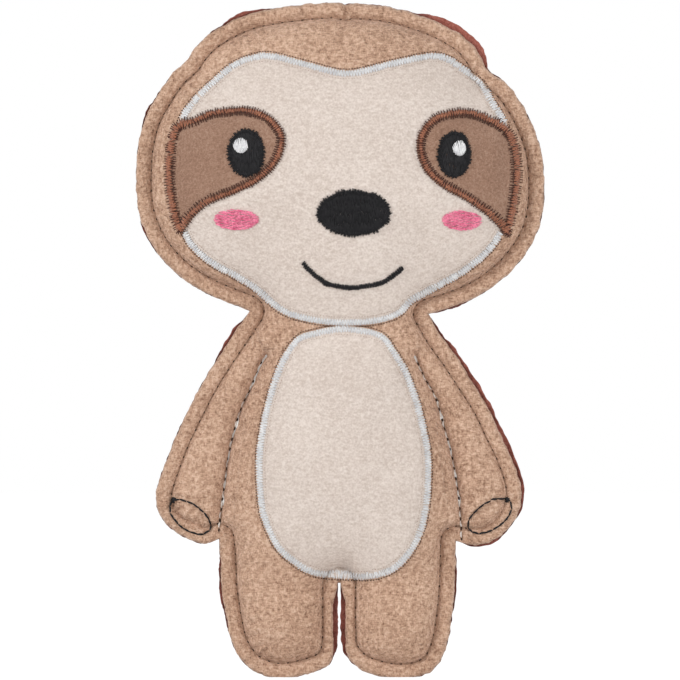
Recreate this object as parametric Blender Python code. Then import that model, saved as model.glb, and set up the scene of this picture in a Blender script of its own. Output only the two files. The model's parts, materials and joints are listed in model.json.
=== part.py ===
"""A flat stuffed toy sloth, standing upright with its face towards -Y.

Two fabric panels, a short pile one in front and a brushed one behind, are sewn together with
their raw edges showing as a flat rim all round. The head, torso, arms and legs swell where
they are filled, and fold at the neck, along the arm stitching and at the hips. Appliqué
patches and embroidery lie on the front. A squeaker sits in the torso's filling.

Outlines are in pixels of a straight front view, measured from its top left corner.
Sizes are in metres, +Z is up, and left and right are those of the front view.
"""
import math

import bpy
import numpy as np
from mathutils.geometry import delaunay_2d_cdt

# Overall size and the front view's frame
TOY_HEIGHT = 0.220
TOP_ROW = 2.5
FOOT_ROW = 677.0
CENTRE_COLUMN = 340.0
PIXEL = TOY_HEIGHT / (FOOT_ROW - TOP_ROW)

# Fabric, rim and filling
COVER_THICKNESS = 0.0008
PATCH_THICKNESS = 0.0005
STITCH_THICKNESS = 0.0006
RIM_WIDTH = 0.0050
FILL_HALF_DEPTH = 0.0155
FILL_REACH = 0.0216
ARM_FILL_SHARE = 0.55
FILL_POWER_SHARE = 0.75
THIN_FILL_SHARE = 0.4
SEAM_PLANE_BACK = 0.0008

# Clearances
LAYER_GAP = 0.0003
PATCH_GAP = 0.0004
FILL_RIM_INSET = 0.0018
QUILT_ROOM = 0.0026
FILL_SLACK = 0.0002
FILL_RIM_SLACK = 0.0018
FOLD_CLEARANCE = 0.00015
NECK_SIDE_GAP = 0.0004

# Embroidery
SATIN_WIDTH = 0.0022
EYE_SATIN_WIDTH = 0.0026
MOUTH_WIDTH = 0.0016
LOOP_WIDTH = 0.0011
THREAD_WIDTH = 0.0007
THREAD_END_GAP = 0.0030
SEAM_THREAD_OUT = 0.0013
SATIN_END_GAP = 0.0008
FOLD_THREAD_RADIUS = 0.0004
FOLD_THREAD_END_GAP = 0.0020

# Squeaker
SQUEAKER_RADIUS = 0.0160
SQUEAKER_HALF_DEPTH = 0.0080
SQUEAKER_WALL = 0.0012
REED_RADIUS = 0.0035
REED_LENGTH = 0.0060
REED_HEAD_RADIUS = 0.0050
REED_HEAD_DEPTH = 0.0006
SQUEAKER_SIDES = 14
POCKET_RING_SHARES = (1.0, 0.93, 0.6, 0.32)
SQUEAKER_COLUMN = 344.0
SQUEAKER_ROW = 455.0

# Mesh spacing
OUTLINE_STEP = 0.0054
TRIM_STEP = 0.0048
GRID_STEP = 0.0105
THREAD_STEP = 0.0022
FINE_STEP = 0.0010
SAME_POINT_GAP = 0.0005
FOLD_ROW_SHARES = (-1.0, -0.5, 0.5, 1.0)
SHOULDER_STEP = 0.0030
NO_LENGTH = 0.000003
MERGE_GAP = 0.0000001
SEAM_SOFTNESS = 0.00005
CURVE_PARTS = 8
ELLIPSE_POINTS = 60
CORNER_SWING_DEG = 12.0
OFFSET_KEPT_SHARE = 0.985
GRID_KEPT_SHARE = 0.6
LINE_KEPT_SHARE = 0.2
ROW_KEPT_SHARE = 0.5
SAMPLES_AT_ONCE = 400
ROLL_SIDES = 10
FOLD_THREAD_SIDES = 8
SQUEAKER_RUNS = 6
SHARP_DEG = 35.0

# Folds: how thick the toy stays there, how far the dip reaches, and how far it bends each way
NECK_HALF_DEPTH = 0.0062
NECK_REACH = 0.0100
NECK_BEND_DEG = 25.0
HIP_HALF_DEPTH = 0.0052
HIP_REACH = 0.0080
HIP_BEND_DEG = 25.0
ARM_FOLD_HALF_DEPTH = 0.0012
ARM_FOLD_REACH = 0.0014
ARM_BEND_DEG = 45.0

NECK_LINE_PX = [(260, 329.8), (418, 329.8)]
HIP_LINE_PX = [(216, 586), (460, 586)]
LEFT_ARM_LINE_PX = [(242, 323), (219, 534)]
RIGHT_ARM_LINE_PX = [(463, 541), (440, 345)]

# The cut edge of the two panels, in runs that meet at the corners
HEAD_EDGE_PX = [
    (428.6, 314), (452, 307), (480, 295), (506, 276), (524, 256), (537, 233), (543, 208),
    (544, 178), (541, 150), (532, 124), (520, 101), (505, 82), (487, 70), (482, 58),
    (468, 40), (444, 25), (416, 14), (384, 6), (352, 3.5), (345, 5), (336, 2.5), (300, 5),
    (256, 12), (230, 22), (207, 36), (192, 52), (186, 61), (172, 74), (157, 96), (145, 119),
    (138, 147), (136, 180), (138, 208), (145, 231), (159, 255), (180, 276.5), (208, 294),
    (249.5, 311),
]
LEFT_ARM_EDGE_PX = [
    (248, 313.5), (236, 331), (222, 351.5), (203, 382), (189, 409), (176, 436), (166, 461.5),
    (158, 485), (156, 498), (158, 511), (167, 525), (184, 537), (203, 543.5), (219, 539),
]
LEFT_LEG_EDGE_PX = [
    (219, 539), (220.5, 560), (222, 588), (226, 616), (232, 643), (244, 663), (259, 673.5),
    (278, 678.5), (300, 676), (324, 668), (333, 659), (337.3, 645), (338, 620), (338, 583),
]
RIGHT_LEG_EDGE_PX = [
    (340.5, 583), (340.5, 620), (342, 646), (349, 660), (363, 671), (387, 678), (405, 679),
    (423, 675.5), (437, 666), (446, 648), (451, 622), (454.5, 590), (456, 541),
]
RIGHT_ARM_EDGE_PX = [
    (456, 541), (472, 545), (488, 543), (502, 534.5), (514, 521), (521, 505), (521, 484),
    (512, 456), (501, 433), (487, 404), (471, 379), (456, 356), (442, 337), (430.5, 317),
]

# Quilting lines between the arms and the torso, top to bottom
LEFT_QUILT_PX = [
    (266, 356), (260, 366), (251.5, 387), (242, 407), (234, 433), (228, 460),
    (224.5, 487), (221.5, 510), (219, 532),
]
RIGHT_QUILT_PX = [
    (415, 357), (426, 380), (435.5, 397), (444, 426), (451, 451), (455.5, 475),
    (459, 498), (461, 522), (462, 541),
]

# Patches and embroidery
FACE_EDGE_PX = [
    (179, 122), (193, 99.5), (211, 82), (231, 65), (249, 57), (270, 54), (305, 62.5),
    (347, 72), (390, 62.5), (430, 54), (448, 57), (461, 65), (483, 82), (493, 100),
    (503, 116), (508, 130), (509, 165), (508, 198), (506, 222), (499, 240), (484, 258),
    (461, 275.5), (435.5, 289.5), (412.6, 302), (399, 316), (376, 323.5), (339, 325.5),
    (305, 321), (280, 312), (257, 292), (236.5, 279), (211, 265), (193, 250), (184, 236),
    (179, 210), (177, 180), (176.5, 150),
]
BELLY_EDGE_PX = [
    (339, 326), (316, 330), (298, 336), (285, 352), (275.5, 373), (267, 399.5), (261, 426),
    (257, 460), (259, 503), (265, 526), (275.5, 547), (291, 562), (308, 573), (323, 577),
    (346, 578.5), (362, 579), (379, 577), (398, 568), (413, 551), (423, 530), (429, 500),
    (430.5, 459), (425, 426), (417, 396), (407.5, 371), (396, 351), (384.5, 335), (365, 328),
]
LEFT_EYE_EDGE_PX = [
    (175, 126), (193, 119), (211, 112), (231, 109), (249, 109), (265, 113.5), (277, 122),
    (285, 135), (285.5, 148), (281, 161), (272, 173.5), (257, 185), (236.5, 195), (211, 205),
    (196, 217), (182, 233), (175, 224.5), (170, 204), (167, 179), (168, 153),
]
RIGHT_EYE_EDGE_PX = [
    (426.5, 122), (439, 114), (465, 110.6), (490, 118), (506, 128), (514.5, 141),
    (518, 156.5), (519, 172), (517, 195), (511, 227), (505, 237.5), (497, 227), (484, 215),
    (465, 202), (446, 192), (433, 183), (423, 172), (417, 159), (415.4, 146), (418, 134),
]
MOUTH_PX = [(303.6, 263), (312, 271.5), (321, 279), (330, 284), (354.5, 287), (379, 283),
            (388, 278), (402, 267)]
LEFT_EYE_PX = (247.4, 153.7, 19.3, 24.5)
RIGHT_EYE_PX = (452.4, 155.6, 17.5, 24.5)
LEFT_HIGHLIGHT_PX = (242.0, 147.0, 7.4, 7.1)
RIGHT_HIGHLIGHT_PX = (457.5, 149.5, 6.6, 7.4)
LEFT_CHEEK_PX = (237.3, 219.5, 21.0, 9.6)
RIGHT_CHEEK_PX = (460.5, 222.0, 18.5, 9.0)
NOSE_PX = (353.6, 213.5, 37.0, 23.6)
LEFT_PAW_PX = (190.0, 517.0, 24.0, 13.0)
RIGHT_PAW_PX = (490.0, 516.0, 25.0, 13.5)
PAW_TILT_DEG = 35.0
ROLL_RUNS = 7
ROLL_ENDS_PX = {"neck": (270, 407), "left_hip": (243, 318), "right_hip": (362, 434)}

# Colours, roughness
TAN_PILE = ("tan_pile", (0.50, 0.32, 0.21), 0.95)
RUST_SUEDE = ("rust_suede", (0.28, 0.07, 0.05), 0.85)
CREAM_KNIT = ("cream_knit", (0.69, 0.58, 0.51), 0.95)
BROWN_PATCH = ("brown_patch", (0.35, 0.20, 0.14), 0.95)
WHITE_THREAD = ("white_thread", (0.76, 0.74, 0.72), 0.55)
RUST_THREAD = ("rust_thread", (0.26, 0.07, 0.03), 0.5)
BLACK_THREAD = ("black_thread", (0.013, 0.012, 0.014), 0.5)
PINK_THREAD = ("pink_thread", (0.75, 0.19, 0.30), 0.5)
FIBRE_FILL = ("fibre_fill", (0.80, 0.80, 0.78), 1.0)
SQUEAKER_RUBBER = ("squeaker_rubber", (0.80, 0.72, 0.55), 0.4)
REED_PLASTIC = ("reed_plastic", (0.75, 0.75, 0.75), 0.4)

FRONT = -1.0
BACK = 1.0


def place(pixel):
    """The x and z of a point of the front view."""
    return np.array([(pixel[0] - CENTRE_COLUMN) * PIXEL, (FOOT_ROW - pixel[1]) * PIXEL])


def places(pixels):
    return np.array([place(p) for p in pixels])


def respace(points, step, closed=False):
    """The same path with its points spread evenly, about one step apart."""
    path = np.vstack([points, points[:1]]) if closed else np.asarray(points)
    run = np.r_[0, np.cumsum(np.linalg.norm(np.diff(path, axis=0), axis=1))]
    count = max(int(round(run[-1] / step)), 3 if closed else 1)
    at = np.linspace(0, run[-1], count + 1)
    spread = np.c_[np.interp(at, run, path[:, 0]), np.interp(at, run, path[:, 1])]
    return spread[:-1] if closed else spread


def smooth(points, closed=False, parts=CURVE_PARTS):
    """A Catmull-Rom curve through the points."""
    knots = np.asarray(points, float)
    if closed:
        knots = np.vstack([knots[-1:], knots, knots[:2]])
    else:
        knots = np.vstack([2 * knots[0] - knots[1], knots, 2 * knots[-1] - knots[-2]])
    t = np.linspace(0, 1, parts, endpoint=False)[:, None]
    pieces = []
    for a, b, c, d in zip(knots[:-3], knots[1:-2], knots[2:-1], knots[3:]):
        bend = 2 * a - 5 * b + 4 * c - d
        twist = 3 * b - a - 3 * c + d
        pieces.append(b + 0.5 * t * ((c - a) + t * (bend + t * twist)))
    if not closed:
        pieces.append(knots[-2:-1])
    return np.vstack(pieces)


def curve(pixels, step, closed=False):
    return respace(smooth(places(pixels), closed), step, closed)


def ellipse(pixels, step, tilt_deg=0.0):
    """A closed run from a centre and two half widths, turned by tilt_deg."""
    centre = place(pixels[:2])
    a = np.linspace(0, 2 * math.pi, ELLIPSE_POINTS, endpoint=False)
    flat = np.c_[pixels[2] * PIXEL * np.cos(a), pixels[3] * PIXEL * np.sin(a)]
    tilt = math.radians(tilt_deg)
    turn = np.array([[math.cos(tilt), -math.sin(tilt)], [math.sin(tilt), math.cos(tilt)]])
    return respace(centre + flat @ turn.T, step, closed=True)


def area(polygon):
    x, z = polygon[:, 0], polygon[:, 1]
    return 0.5 * np.sum(x * np.roll(z, -1) - np.roll(x, -1) * z)


def counter_clockwise(polygon):
    return polygon if area(polygon) > 0 else polygon[::-1]


def inside(points, polygon):
    """Which points lie in the polygon."""
    x, z = points[:, 0][:, None], points[:, 1][:, None]
    ax, az = polygon[:, 0], polygon[:, 1]
    bx, bz = np.roll(ax, -1), np.roll(az, -1)
    spans = (az > z) != (bz > z)
    with np.errstate(divide="ignore", invalid="ignore"):
        cross_x = ax + (z - az) * (bx - ax) / (bz - az)
    return (np.sum(spans & (x < cross_x), axis=1) % 2) == 1


def distance_to(points, path, closed=False):
    """How far each point is from the path."""
    a = path if closed else path[:-1]
    b = np.roll(path, -1, axis=0) if closed else path[1:]
    along = b - a
    reach = points[:, None, :] - a[None, :, :]
    length = np.maximum(np.sum(along * along, axis=1), NO_LENGTH ** 2)
    t = np.clip(np.sum(reach * along, axis=2) / length, 0, 1)
    return np.sqrt(np.min(np.sum((reach - t[..., None] * along) ** 2, axis=2), axis=1))


def inset(polygon, distance, step):
    """The closed path that runs at a distance inside the polygon."""
    ring = respace(counter_clockwise(polygon), FINE_STEP, closed=True)
    after = np.roll(ring, -1, axis=0) - ring
    after /= np.linalg.norm(after, axis=1)[:, None]
    inward = np.c_[-after[:, 1], after[:, 0]]
    moved = []
    for point, left, right in zip(ring, np.roll(inward, 1, axis=0), inward):
        turn = math.atan2(left[0] * right[1] - left[1] * right[0], left @ right)
        steps = max(int(abs(turn) / math.radians(CORNER_SWING_DEG)), 1)
        for i in range(steps + 1):
            a = turn * i / steps
            swung = np.array([left[0] * math.cos(a) - left[1] * math.sin(a),
                              left[0] * math.sin(a) + left[1] * math.cos(a)])
            moved.append(point + swung * distance)
    moved = np.array(moved)
    clear = distance_to(moved, ring, closed=True) > abs(distance) * OFFSET_KEPT_SHARE
    return respace(moved[clear], step, closed=True)


def side_of(points, line):
    """The signed distance from a line through two points, positive on its left."""
    way = line[1] - line[0]
    way = way / np.linalg.norm(way)
    reach = points - line[0]
    return way[0] * reach[:, 1] - way[1] * reach[:, 0]


def clip(polygon, line, sign):
    """The part of the polygon on one side of a line."""
    height = side_of(polygon, line) * sign
    kept = []
    for i, point in enumerate(polygon):
        j = (i + 1) % len(polygon)
        if height[i] >= 0:
            kept.append(point)
        if height[i] * height[j] < 0:
            t = height[i] / (height[i] - height[j])
            kept.append(point + (polygon[j] - point) * t)
    return np.array(kept)


class Fold:
    """A straight line where the toy bends, thinner than what it joins."""

    def __init__(self, pixels, half_depth, reach, bend_deg, core=0.0):
        self.line = places(pixels)
        self.half_depth = half_depth
        self.reach = reach
        self.bend = math.radians(bend_deg)
        self.core = core

    def dip(self, points):
        far = distance_to(points, self.line) / self.reach
        return self.half_depth * np.sqrt(1 + far * far)

    def clearance(self, points, outer):
        """How far a layer that reaches out to its outer height stays from the line."""
        wedge = (half_depth(points) + outer) * math.tan(self.bend / 2) + FOLD_CLEARANCE
        return np.maximum(wedge, self.core)

    def moved(self, sign, distance):
        """The line moved to one side."""
        way = (self.line[1] - self.line[0]) / np.linalg.norm(self.line[1] - self.line[0])
        return self.line + np.array([-way[1], way[0]]) * sign * distance

    def beyond(self, polygon, sign, distance):
        """The part of the polygon that lies past the moved line."""
        return clip(polygon, self.moved(sign, distance), sign)

    def trim(self, polygon, sign, outer, step=OUTLINE_STEP / 2):
        """The polygon on one side of the line, drawn back far enough to bend."""
        way = (self.line[1] - self.line[0]) / np.linalg.norm(self.line[1] - self.line[0])
        away = np.array([-way[1], way[0]]) * sign
        part = clip(polygon, self.line, sign)
        points = []
        for a, b in zip(part, np.roll(part, -1, axis=0)):
            on_line = np.abs(side_of(np.array([a, b]), self.line)).max() < NO_LENGTH
            count = max(int(np.linalg.norm(b - a) / step), 1) if on_line else 1
            points.extend(a + (b - a) * i / count for i in range(count))
        points = np.array(points)
        gap = self.clearance(points, outer)
        off = side_of(points, self.line) * sign
        push = np.where(off < NO_LENGTH, gap, 0.0)
        squeezed = (off >= NO_LENGTH) & (off < gap)
        return (points + away * push[:, None])[~squeezed]


def depth_from_seams(points):
    """A smooth distance from every seam and quilting line."""
    total = np.zeros(len(points))
    for a in range(0, len(points), SAMPLES_AT_ONCE):
        some = points[a:a + SAMPLES_AT_ONCE]
        reach = some[:, None, :] - SEAM_SAMPLES[None, :, :]
        far = np.sqrt(np.sum(reach * reach, axis=2)) + SEAM_SOFTNESS
        total[a:a + len(some)] = np.sum(far ** -3.0, axis=1) * FINE_STEP / 2
    return total ** -0.5


def half_depth(points):
    """Half the toy's thickness inside its fabric, zero on the rim."""
    points = np.asarray(points, float)
    full = FILL_HALF_DEPTH * (depth_from_seams(points) / FILL_REACH) ** FILL_POWER_SHARE
    in_arm = inside(points, LEFT_ARM_CHAMBER) | inside(points, RIGHT_ARM_CHAMBER)
    full = np.where(in_arm, full * ARM_FILL_SHARE, full)
    sharp = full ** -4.0
    for fold in FOLDS:
        sharp = sharp + fold.dip(points) ** -4.0
    swollen = inside(points, SEAM) & (distance_to(points, SEAM, closed=True) > SAME_POINT_GAP / 25)
    return np.where(swollen, sharp ** -0.25, 0.0)


def grid():
    """Points of a triangular grid over the whole toy."""
    low, high = OUTLINE.min(axis=0), OUTLINE.max(axis=0)
    rise = GRID_STEP * math.sqrt(3) / 2
    rows = int((high[1] - low[1]) / rise) + 1
    columns = int((high[0] - low[0]) / GRID_STEP) + 1
    return np.array([low + (GRID_STEP * (i + 0.5 * (j % 2)), rise * j)
                     for j in range(rows) for i in range(columns)])


def thin_out(points, others, gap):
    """Only the points that keep their distance from others, and from each other."""
    kept = [p for p in others]
    chosen = []
    for p in points:
        if np.min(np.sum((np.array(kept) - p) ** 2, axis=1)) >= gap * gap:
            kept.append(p)
            chosen.append(p)
    return np.array(chosen).reshape(-1, 2)


def region(outline, cuts=(), lines=(), fill=(), under=None):
    """A triangulated area: what is inside the outline and outside the cuts.

    Lines are paths whose stretches inside the area become edges. Fill is a list of
    points and the distance that they keep from what is there before them. Under is an
    area that this one lies on, whose corners and edges it keeps.
    """
    loops = [outline, *cuts]
    points = []
    edges = []
    for loop in loops:
        first = len(points)
        points.extend(loop)
        edges.extend((first + i, first + (i + 1) % len(loop)) for i in range(len(loop)))

    def wanted(candidates, gap):
        good = inside(candidates, outline)
        for loop in loops:
            good &= distance_to(candidates, loop, closed=True) > gap
        for cut in cuts:
            good &= ~inside(candidates, cut)
        return good

    for path, closed, gap in lines:
        good = wanted(path, gap)
        last = None
        first = None
        for i, point in enumerate(path):
            if good[i]:
                points.append(point)
                if last is not None:
                    edges.append((last, len(points) - 1))
                last = len(points) - 1
                first = last if i == 0 else first
            else:
                last = None
        if closed and last is not None and first is not None:
            edges.append((last, first))
    for candidates, gap in fill:
        near = candidates[wanted(candidates, gap)]
        points.extend(thin_out(near, points, gap))
    if under is not None:
        number = {}
        clear = wanted(under[0], SAME_POINT_GAP)
        placed = np.array(points)
        for i, point in enumerate(under[0]):
            if clear[i] and np.min(np.sum((placed - point) ** 2, axis=1)) > SAME_POINT_GAP ** 2:
                number[i] = len(points)
                points.append(point)
        for f in under[1]:
            for a, b in ((f[0], f[1]), (f[1], f[2]), (f[2], f[0])):
                if a < b and a in number and b in number:
                    edges.append((number[a], number[b]))
    verts, _, faces, *_ = delaunay_2d_cdt(
        [tuple(map(float, p)) for p in points], edges, [], 0, MERGE_GAP)
    verts = np.array([(v[0], v[1]) for v in verts])
    faces = [f for f in faces if len(f) == 3]
    middles = np.array([verts[list(f)].mean(axis=0) for f in faces])
    keep = inside(middles, outline)
    for cut in cuts:
        keep &= ~inside(middles, cut)
    faces = [f for f, k in zip(faces, keep) if k]
    used = sorted({i for f in faces for i in f})
    renumber = {old: new for new, old in enumerate(used)}
    return verts[used], [[renumber[i] for i in f] for f in faces]


def material(finish):
    name, colour, roughness = finish
    found = bpy.data.materials.get(name) or bpy.data.materials.new(name)
    found.use_nodes = True
    shader = found.node_tree.nodes["Principled BSDF"]
    shader.inputs["Base Color"].default_value = (*colour, 1.0)
    shader.inputs["Roughness"].default_value = roughness
    found.diffuse_color = (*colour, 1.0)
    return found


def add_object(name, verts, faces, finish, carrier):
    """An object whose origin is its carrier's, with the faces turned outwards."""
    mesh = bpy.data.meshes.new(name)
    origin = np.array(carrier.location)
    mesh.from_pydata([tuple(np.array(v) - origin) for v in verts], [], faces)
    own = material(finish).copy()
    own.name = name + "_" + finish[0]
    mesh.materials.append(own)
    obj = bpy.data.objects.new(name, mesh)
    bpy.context.scene.collection.objects.link(obj)
    obj.parent = carrier
    bpy.context.view_layer.objects.active = obj
    bpy.ops.object.mode_set(mode="EDIT")
    bpy.ops.mesh.select_all(action="SELECT")
    bpy.ops.mesh.normals_make_consistent(inside=False)
    bpy.ops.object.mode_set(mode="OBJECT")
    mesh.shade_smooth()
    mesh.set_sharp_from_angle(angle=math.radians(SHARP_DEG))
    return obj


def between(name, area_mesh, low, high, finish, carrier):
    """A closed solid over an area, from one y at each point to another."""
    verts, faces = area_mesh
    count = len(verts)
    solid = [(x, y, z) for (x, z), y in zip(verts, low)]
    solid += [(x, y, z) for (x, z), y in zip(verts, high)]
    shell = [tuple(f) for f in faces] + [tuple(i + count for i in reversed(f)) for f in faces]
    met = {}
    for f in faces:
        for a, b in zip(f, f[1:] + f[:1]):
            met[frozenset((a, b))] = met.get(frozenset((a, b)), 0) + 1
    for f in faces:
        for a, b in zip(f, f[1:] + f[:1]):
            if met[frozenset((a, b))] == 1:
                shell.append((b, a, a + count, b + count))
    return add_object(name, solid, shell, finish, carrier)


def layer(name, area_mesh, low, high, side, finish, carrier):
    """A sheet over an area, that follows the filled shape at two heights above it."""
    swell = half_depth(area_mesh[0])
    near = SEAM_PLANE_BACK + side * (swell + low)
    far = SEAM_PLANE_BACK + side * (swell + high)
    return between(name, area_mesh, near, far, finish, carrier)


def band(path, width):
    """The outline of a strip that runs along an open path."""
    way = np.gradient(path, axis=0)
    way /= np.linalg.norm(way, axis=1)[:, None]
    across = np.c_[-way[:, 1], way[:, 0]] * width / 2
    return np.vstack([path + across, (path - across)[::-1]])


def turned(name, stations, axis, finish, carrier, sides=ROLL_SIDES):
    """A solid of revolution: stations are (distance along the axis, radius)."""
    origin, way = axis
    way = way / np.linalg.norm(way)
    across = np.cross(way, np.array([0.0, 1.0, 0.0]))
    if np.linalg.norm(across) < 0.5:
        across = np.array([1.0, 0.0, 0.0])
    up = np.cross(way, across)
    verts = []
    for along, radius in stations:
        for i in range(sides):
            a = 2 * math.pi * i / sides
            verts.append(origin + way * along
                         + (across * math.cos(a) + up * math.sin(a)) * radius)
    rings = len(stations)
    faces = []
    for j in range(rings - 1):
        for i in range(sides):
            k = (i + 1) % sides
            faces.append((j * sides + i, j * sides + k, (j + 1) * sides + k, (j + 1) * sides + i))
    faces.append(tuple(range(sides)))
    faces.append(tuple((rings - 1) * sides + i for i in reversed(range(sides))))
    return add_object(name, verts, faces, finish, carrier)


def carrier_at(name, line=None):
    """An empty at the middle of a fold line, which carries what turns about it."""
    empty = bpy.data.objects.new(name, None)
    if line is not None:
        middle = line.mean(axis=0)
        empty.location = (middle[0], SEAM_PLANE_BACK, middle[1])
    bpy.context.scene.collection.objects.link(empty)
    return empty


def cover_area(outline):
    """A cover section's area, with its seam, quilting and swelling marked in."""
    line_gap = SHOULDER_STEP * LINE_KEPT_SHARE
    row_gap = SHOULDER_STEP * ROW_KEPT_SHARE
    lines = [(SEAM, True, line_gap)]
    lines += [(quilt, False, line_gap) for quilt in QUILTS]
    fill = [(SHOULDER_RING, row_gap), (FOLD_ROWS, row_gap), (GRID, GRID_STEP * GRID_KEPT_SHARE)]
    return region(outline, lines=lines, fill=fill)


def over(outline, lower, cuts=(), borders=()):
    """The area of a layer that keeps every corner of the area it lies on."""
    lines = [(border, True, SAME_POINT_GAP) for border in borders]
    return region(outline, cuts, lines, under=lower)


def make_covers(name, outline, carrier):
    """The front and the back cover of a section. Returns their area."""
    area_mesh = cover_area(outline)
    layer(name + "_cover_front", area_mesh, RIM_HALF_GAP, COVER_TOP, FRONT, TAN_PILE, carrier)
    layer(name + "_cover_back", area_mesh, RIM_HALF_GAP, COVER_TOP, BACK, RUST_SUEDE, carrier)
    return area_mesh


def fill_half_depth(points, outline=None):
    """Half the filling's thickness: a little slack inside the fabric, more at its rim."""
    room = half_depth(points)
    slack = FILL_SLACK
    if outline is not None:
        at_rim = distance_to(points, outline, closed=True) < SAME_POINT_GAP
        slack = np.where(at_rim, FILL_RIM_SLACK, FILL_SLACK)
    return np.maximum(room - RIM_HALF_GAP - slack, room * THIN_FILL_SHARE)


def make_stuffing(name, outline, cover, carrier):
    area_mesh = over(outline, cover)
    swell = fill_half_depth(area_mesh[0], outline)
    between(name + "_stuffing", area_mesh, SEAM_PLANE_BACK - swell, SEAM_PLANE_BACK + swell,
            FIBRE_FILL, carrier)


def make_torso_stuffing(outline, cuts, cover, carrier):
    """The torso's filling in two halves, with a pocket between them for the squeaker."""
    centre = place((SQUEAKER_COLUMN, SQUEAKER_ROW))
    turns = np.linspace(0, 2 * math.pi, SQUEAKER_SIDES, endpoint=False)
    circle = np.c_[np.cos(turns), np.sin(turns)]
    pocket_radius = SQUEAKER_RADIUS + 2 * LAYER_GAP
    rings = [(centre + circle * pocket_radius * share, True, LAYER_GAP)
             for share in POCKET_RING_SHARES]
    verts, faces = region(outline, cuts, rings, under=cover)
    swell = fill_half_depth(verts, outline)
    for cut in cuts:
        swell = np.minimum(swell, fill_half_depth(verts, cut))
    far = np.linalg.norm(verts - centre, axis=1)
    pocket_share = np.clip(far / pocket_radius, 0, 1)
    pocket = (SQUEAKER_HALF_DEPTH + 4 * LAYER_GAP) * np.sqrt(1 - pocket_share ** 4)
    inner = np.maximum(pocket, RIM_HALF_GAP)
    for side, name in ((FRONT, "torso_stuffing_front"), (BACK, "torso_stuffing_back")):
        between(name, (verts, faces), SEAM_PLANE_BACK + side * inner,
                SEAM_PLANE_BACK + side * swell, FIBRE_FILL, carrier)


def make_squeaker(carrier):
    """A hollow rubber bulb with a reed plugged into its back."""
    centre = place((SQUEAKER_COLUMN, SQUEAKER_ROW))
    middle = np.array([centre[0], SEAM_PLANE_BACK, centre[1]])
    neck = REED_RADIUS + LAYER_GAP
    outer = []
    for i in range(SQUEAKER_RUNS + 1):
        a = -math.pi / 2 + math.pi * i / SQUEAKER_RUNS
        outer.append((SQUEAKER_RADIUS * math.cos(a), SQUEAKER_HALF_DEPTH * math.sin(a)))
    outer[0] = (0.0, -SQUEAKER_HALF_DEPTH)
    open_angle = math.acos(neck / SQUEAKER_RADIUS)
    outer[-1] = (neck, SQUEAKER_HALF_DEPTH * math.sin(open_angle))
    inner = []
    inner_radius = SQUEAKER_RADIUS - SQUEAKER_WALL
    inner_half = SQUEAKER_HALF_DEPTH - SQUEAKER_WALL
    inner_open = math.acos(neck / inner_radius)
    for i in range(SQUEAKER_RUNS + 1):
        a = inner_open - (inner_open + math.pi / 2) * i / SQUEAKER_RUNS
        inner.append((inner_radius * math.cos(a), inner_half * math.sin(a)))
    inner[-1] = (0.0, -inner_half)
    profile = outer + inner
    sides = SQUEAKER_SIDES
    verts = []
    ring_of = []
    for radius, depth in profile:
        if radius == 0.0:
            ring_of.append([len(verts)] * sides)
            verts.append(middle + np.array([0.0, depth, 0.0]))
            continue
        ring_of.append(list(range(len(verts), len(verts) + sides)))
        for i in range(sides):
            a = 2 * math.pi * i / sides
            verts.append(middle + np.array([radius * math.cos(a), depth, radius * math.sin(a)]))
    faces = []
    for low, high in zip(ring_of[:-1], ring_of[1:]):
        for i in range(sides):
            k = (i + 1) % sides
            corners = [low[i], low[k], high[k], high[i]]
            faces.append(tuple(dict.fromkeys(corners)))
    add_object("squeaker_bulb", verts, faces, SQUEAKER_RUBBER, carrier)
    seat = SQUEAKER_HALF_DEPTH * math.sin(open_angle)
    seat_at = SQUEAKER_HALF_DEPTH * math.sin(math.acos(REED_HEAD_RADIUS / SQUEAKER_RADIUS))
    head_low = max(seat, seat_at) + LAYER_GAP
    stations = [(head_low - REED_LENGTH, REED_RADIUS), (head_low, REED_RADIUS),
                (head_low, REED_HEAD_RADIUS), (head_low + REED_HEAD_DEPTH, REED_HEAD_RADIUS)]
    turned("squeaker_reed", stations, (middle, np.array([0.0, 1.0, 0.0])), REED_PLASTIC, carrier)


def make_roll(name, fold, ends_px, carrier):
    """The filling that runs through a fold, round the line that the toy bends about."""
    start, end = (place((column, FOOT_ROW)) for column in ends_px)
    level = fold.line[0][1]
    length = end[0] - start[0]
    stations = []
    for i in range(ROLL_RUNS + 1):
        along = length * i / ROLL_RUNS
        radius = fill_half_depth(np.array([[start[0] + along, level]]))[0] - FILL_SLACK
        stations.append((along, float(radius)))
    origin = np.array([start[0], SEAM_PLANE_BACK, level])
    turned(name, stations, (origin, np.array([1.0, 0.0, 0.0])), FIBRE_FILL, carrier)


def make_fold_thread(name, fold, carrier):
    """The quilting thread, which lies on the line that the arm bends about."""
    way = fold.line[1] - fold.line[0]
    length = np.linalg.norm(way)
    start = fold.line[0] + way / length * FOLD_THREAD_END_GAP
    origin = np.array([start[0], SEAM_PLANE_BACK, start[1]])
    stations = [(0.0, FOLD_THREAD_RADIUS), (length - 2 * FOLD_THREAD_END_GAP, FOLD_THREAD_RADIUS)]
    turned(name, stations, (origin, np.array([way[0], 0.0, way[1]])), WHITE_THREAD, carrier,
           FOLD_THREAD_SIDES)


def on_cover(name, area_mesh, finish, carrier):
    """Embroidery that lies straight on the cover."""
    layer(name, area_mesh, PATCH_LOW, PATCH_LOW + STITCH_THICKNESS, FRONT, finish, carrier)


def on_patch(name, area_mesh, finish, carrier):
    """Embroidery that lies on a patch."""
    layer(name, area_mesh, SECOND_LOW, SECOND_TOP, FRONT, finish, carrier)


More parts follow.
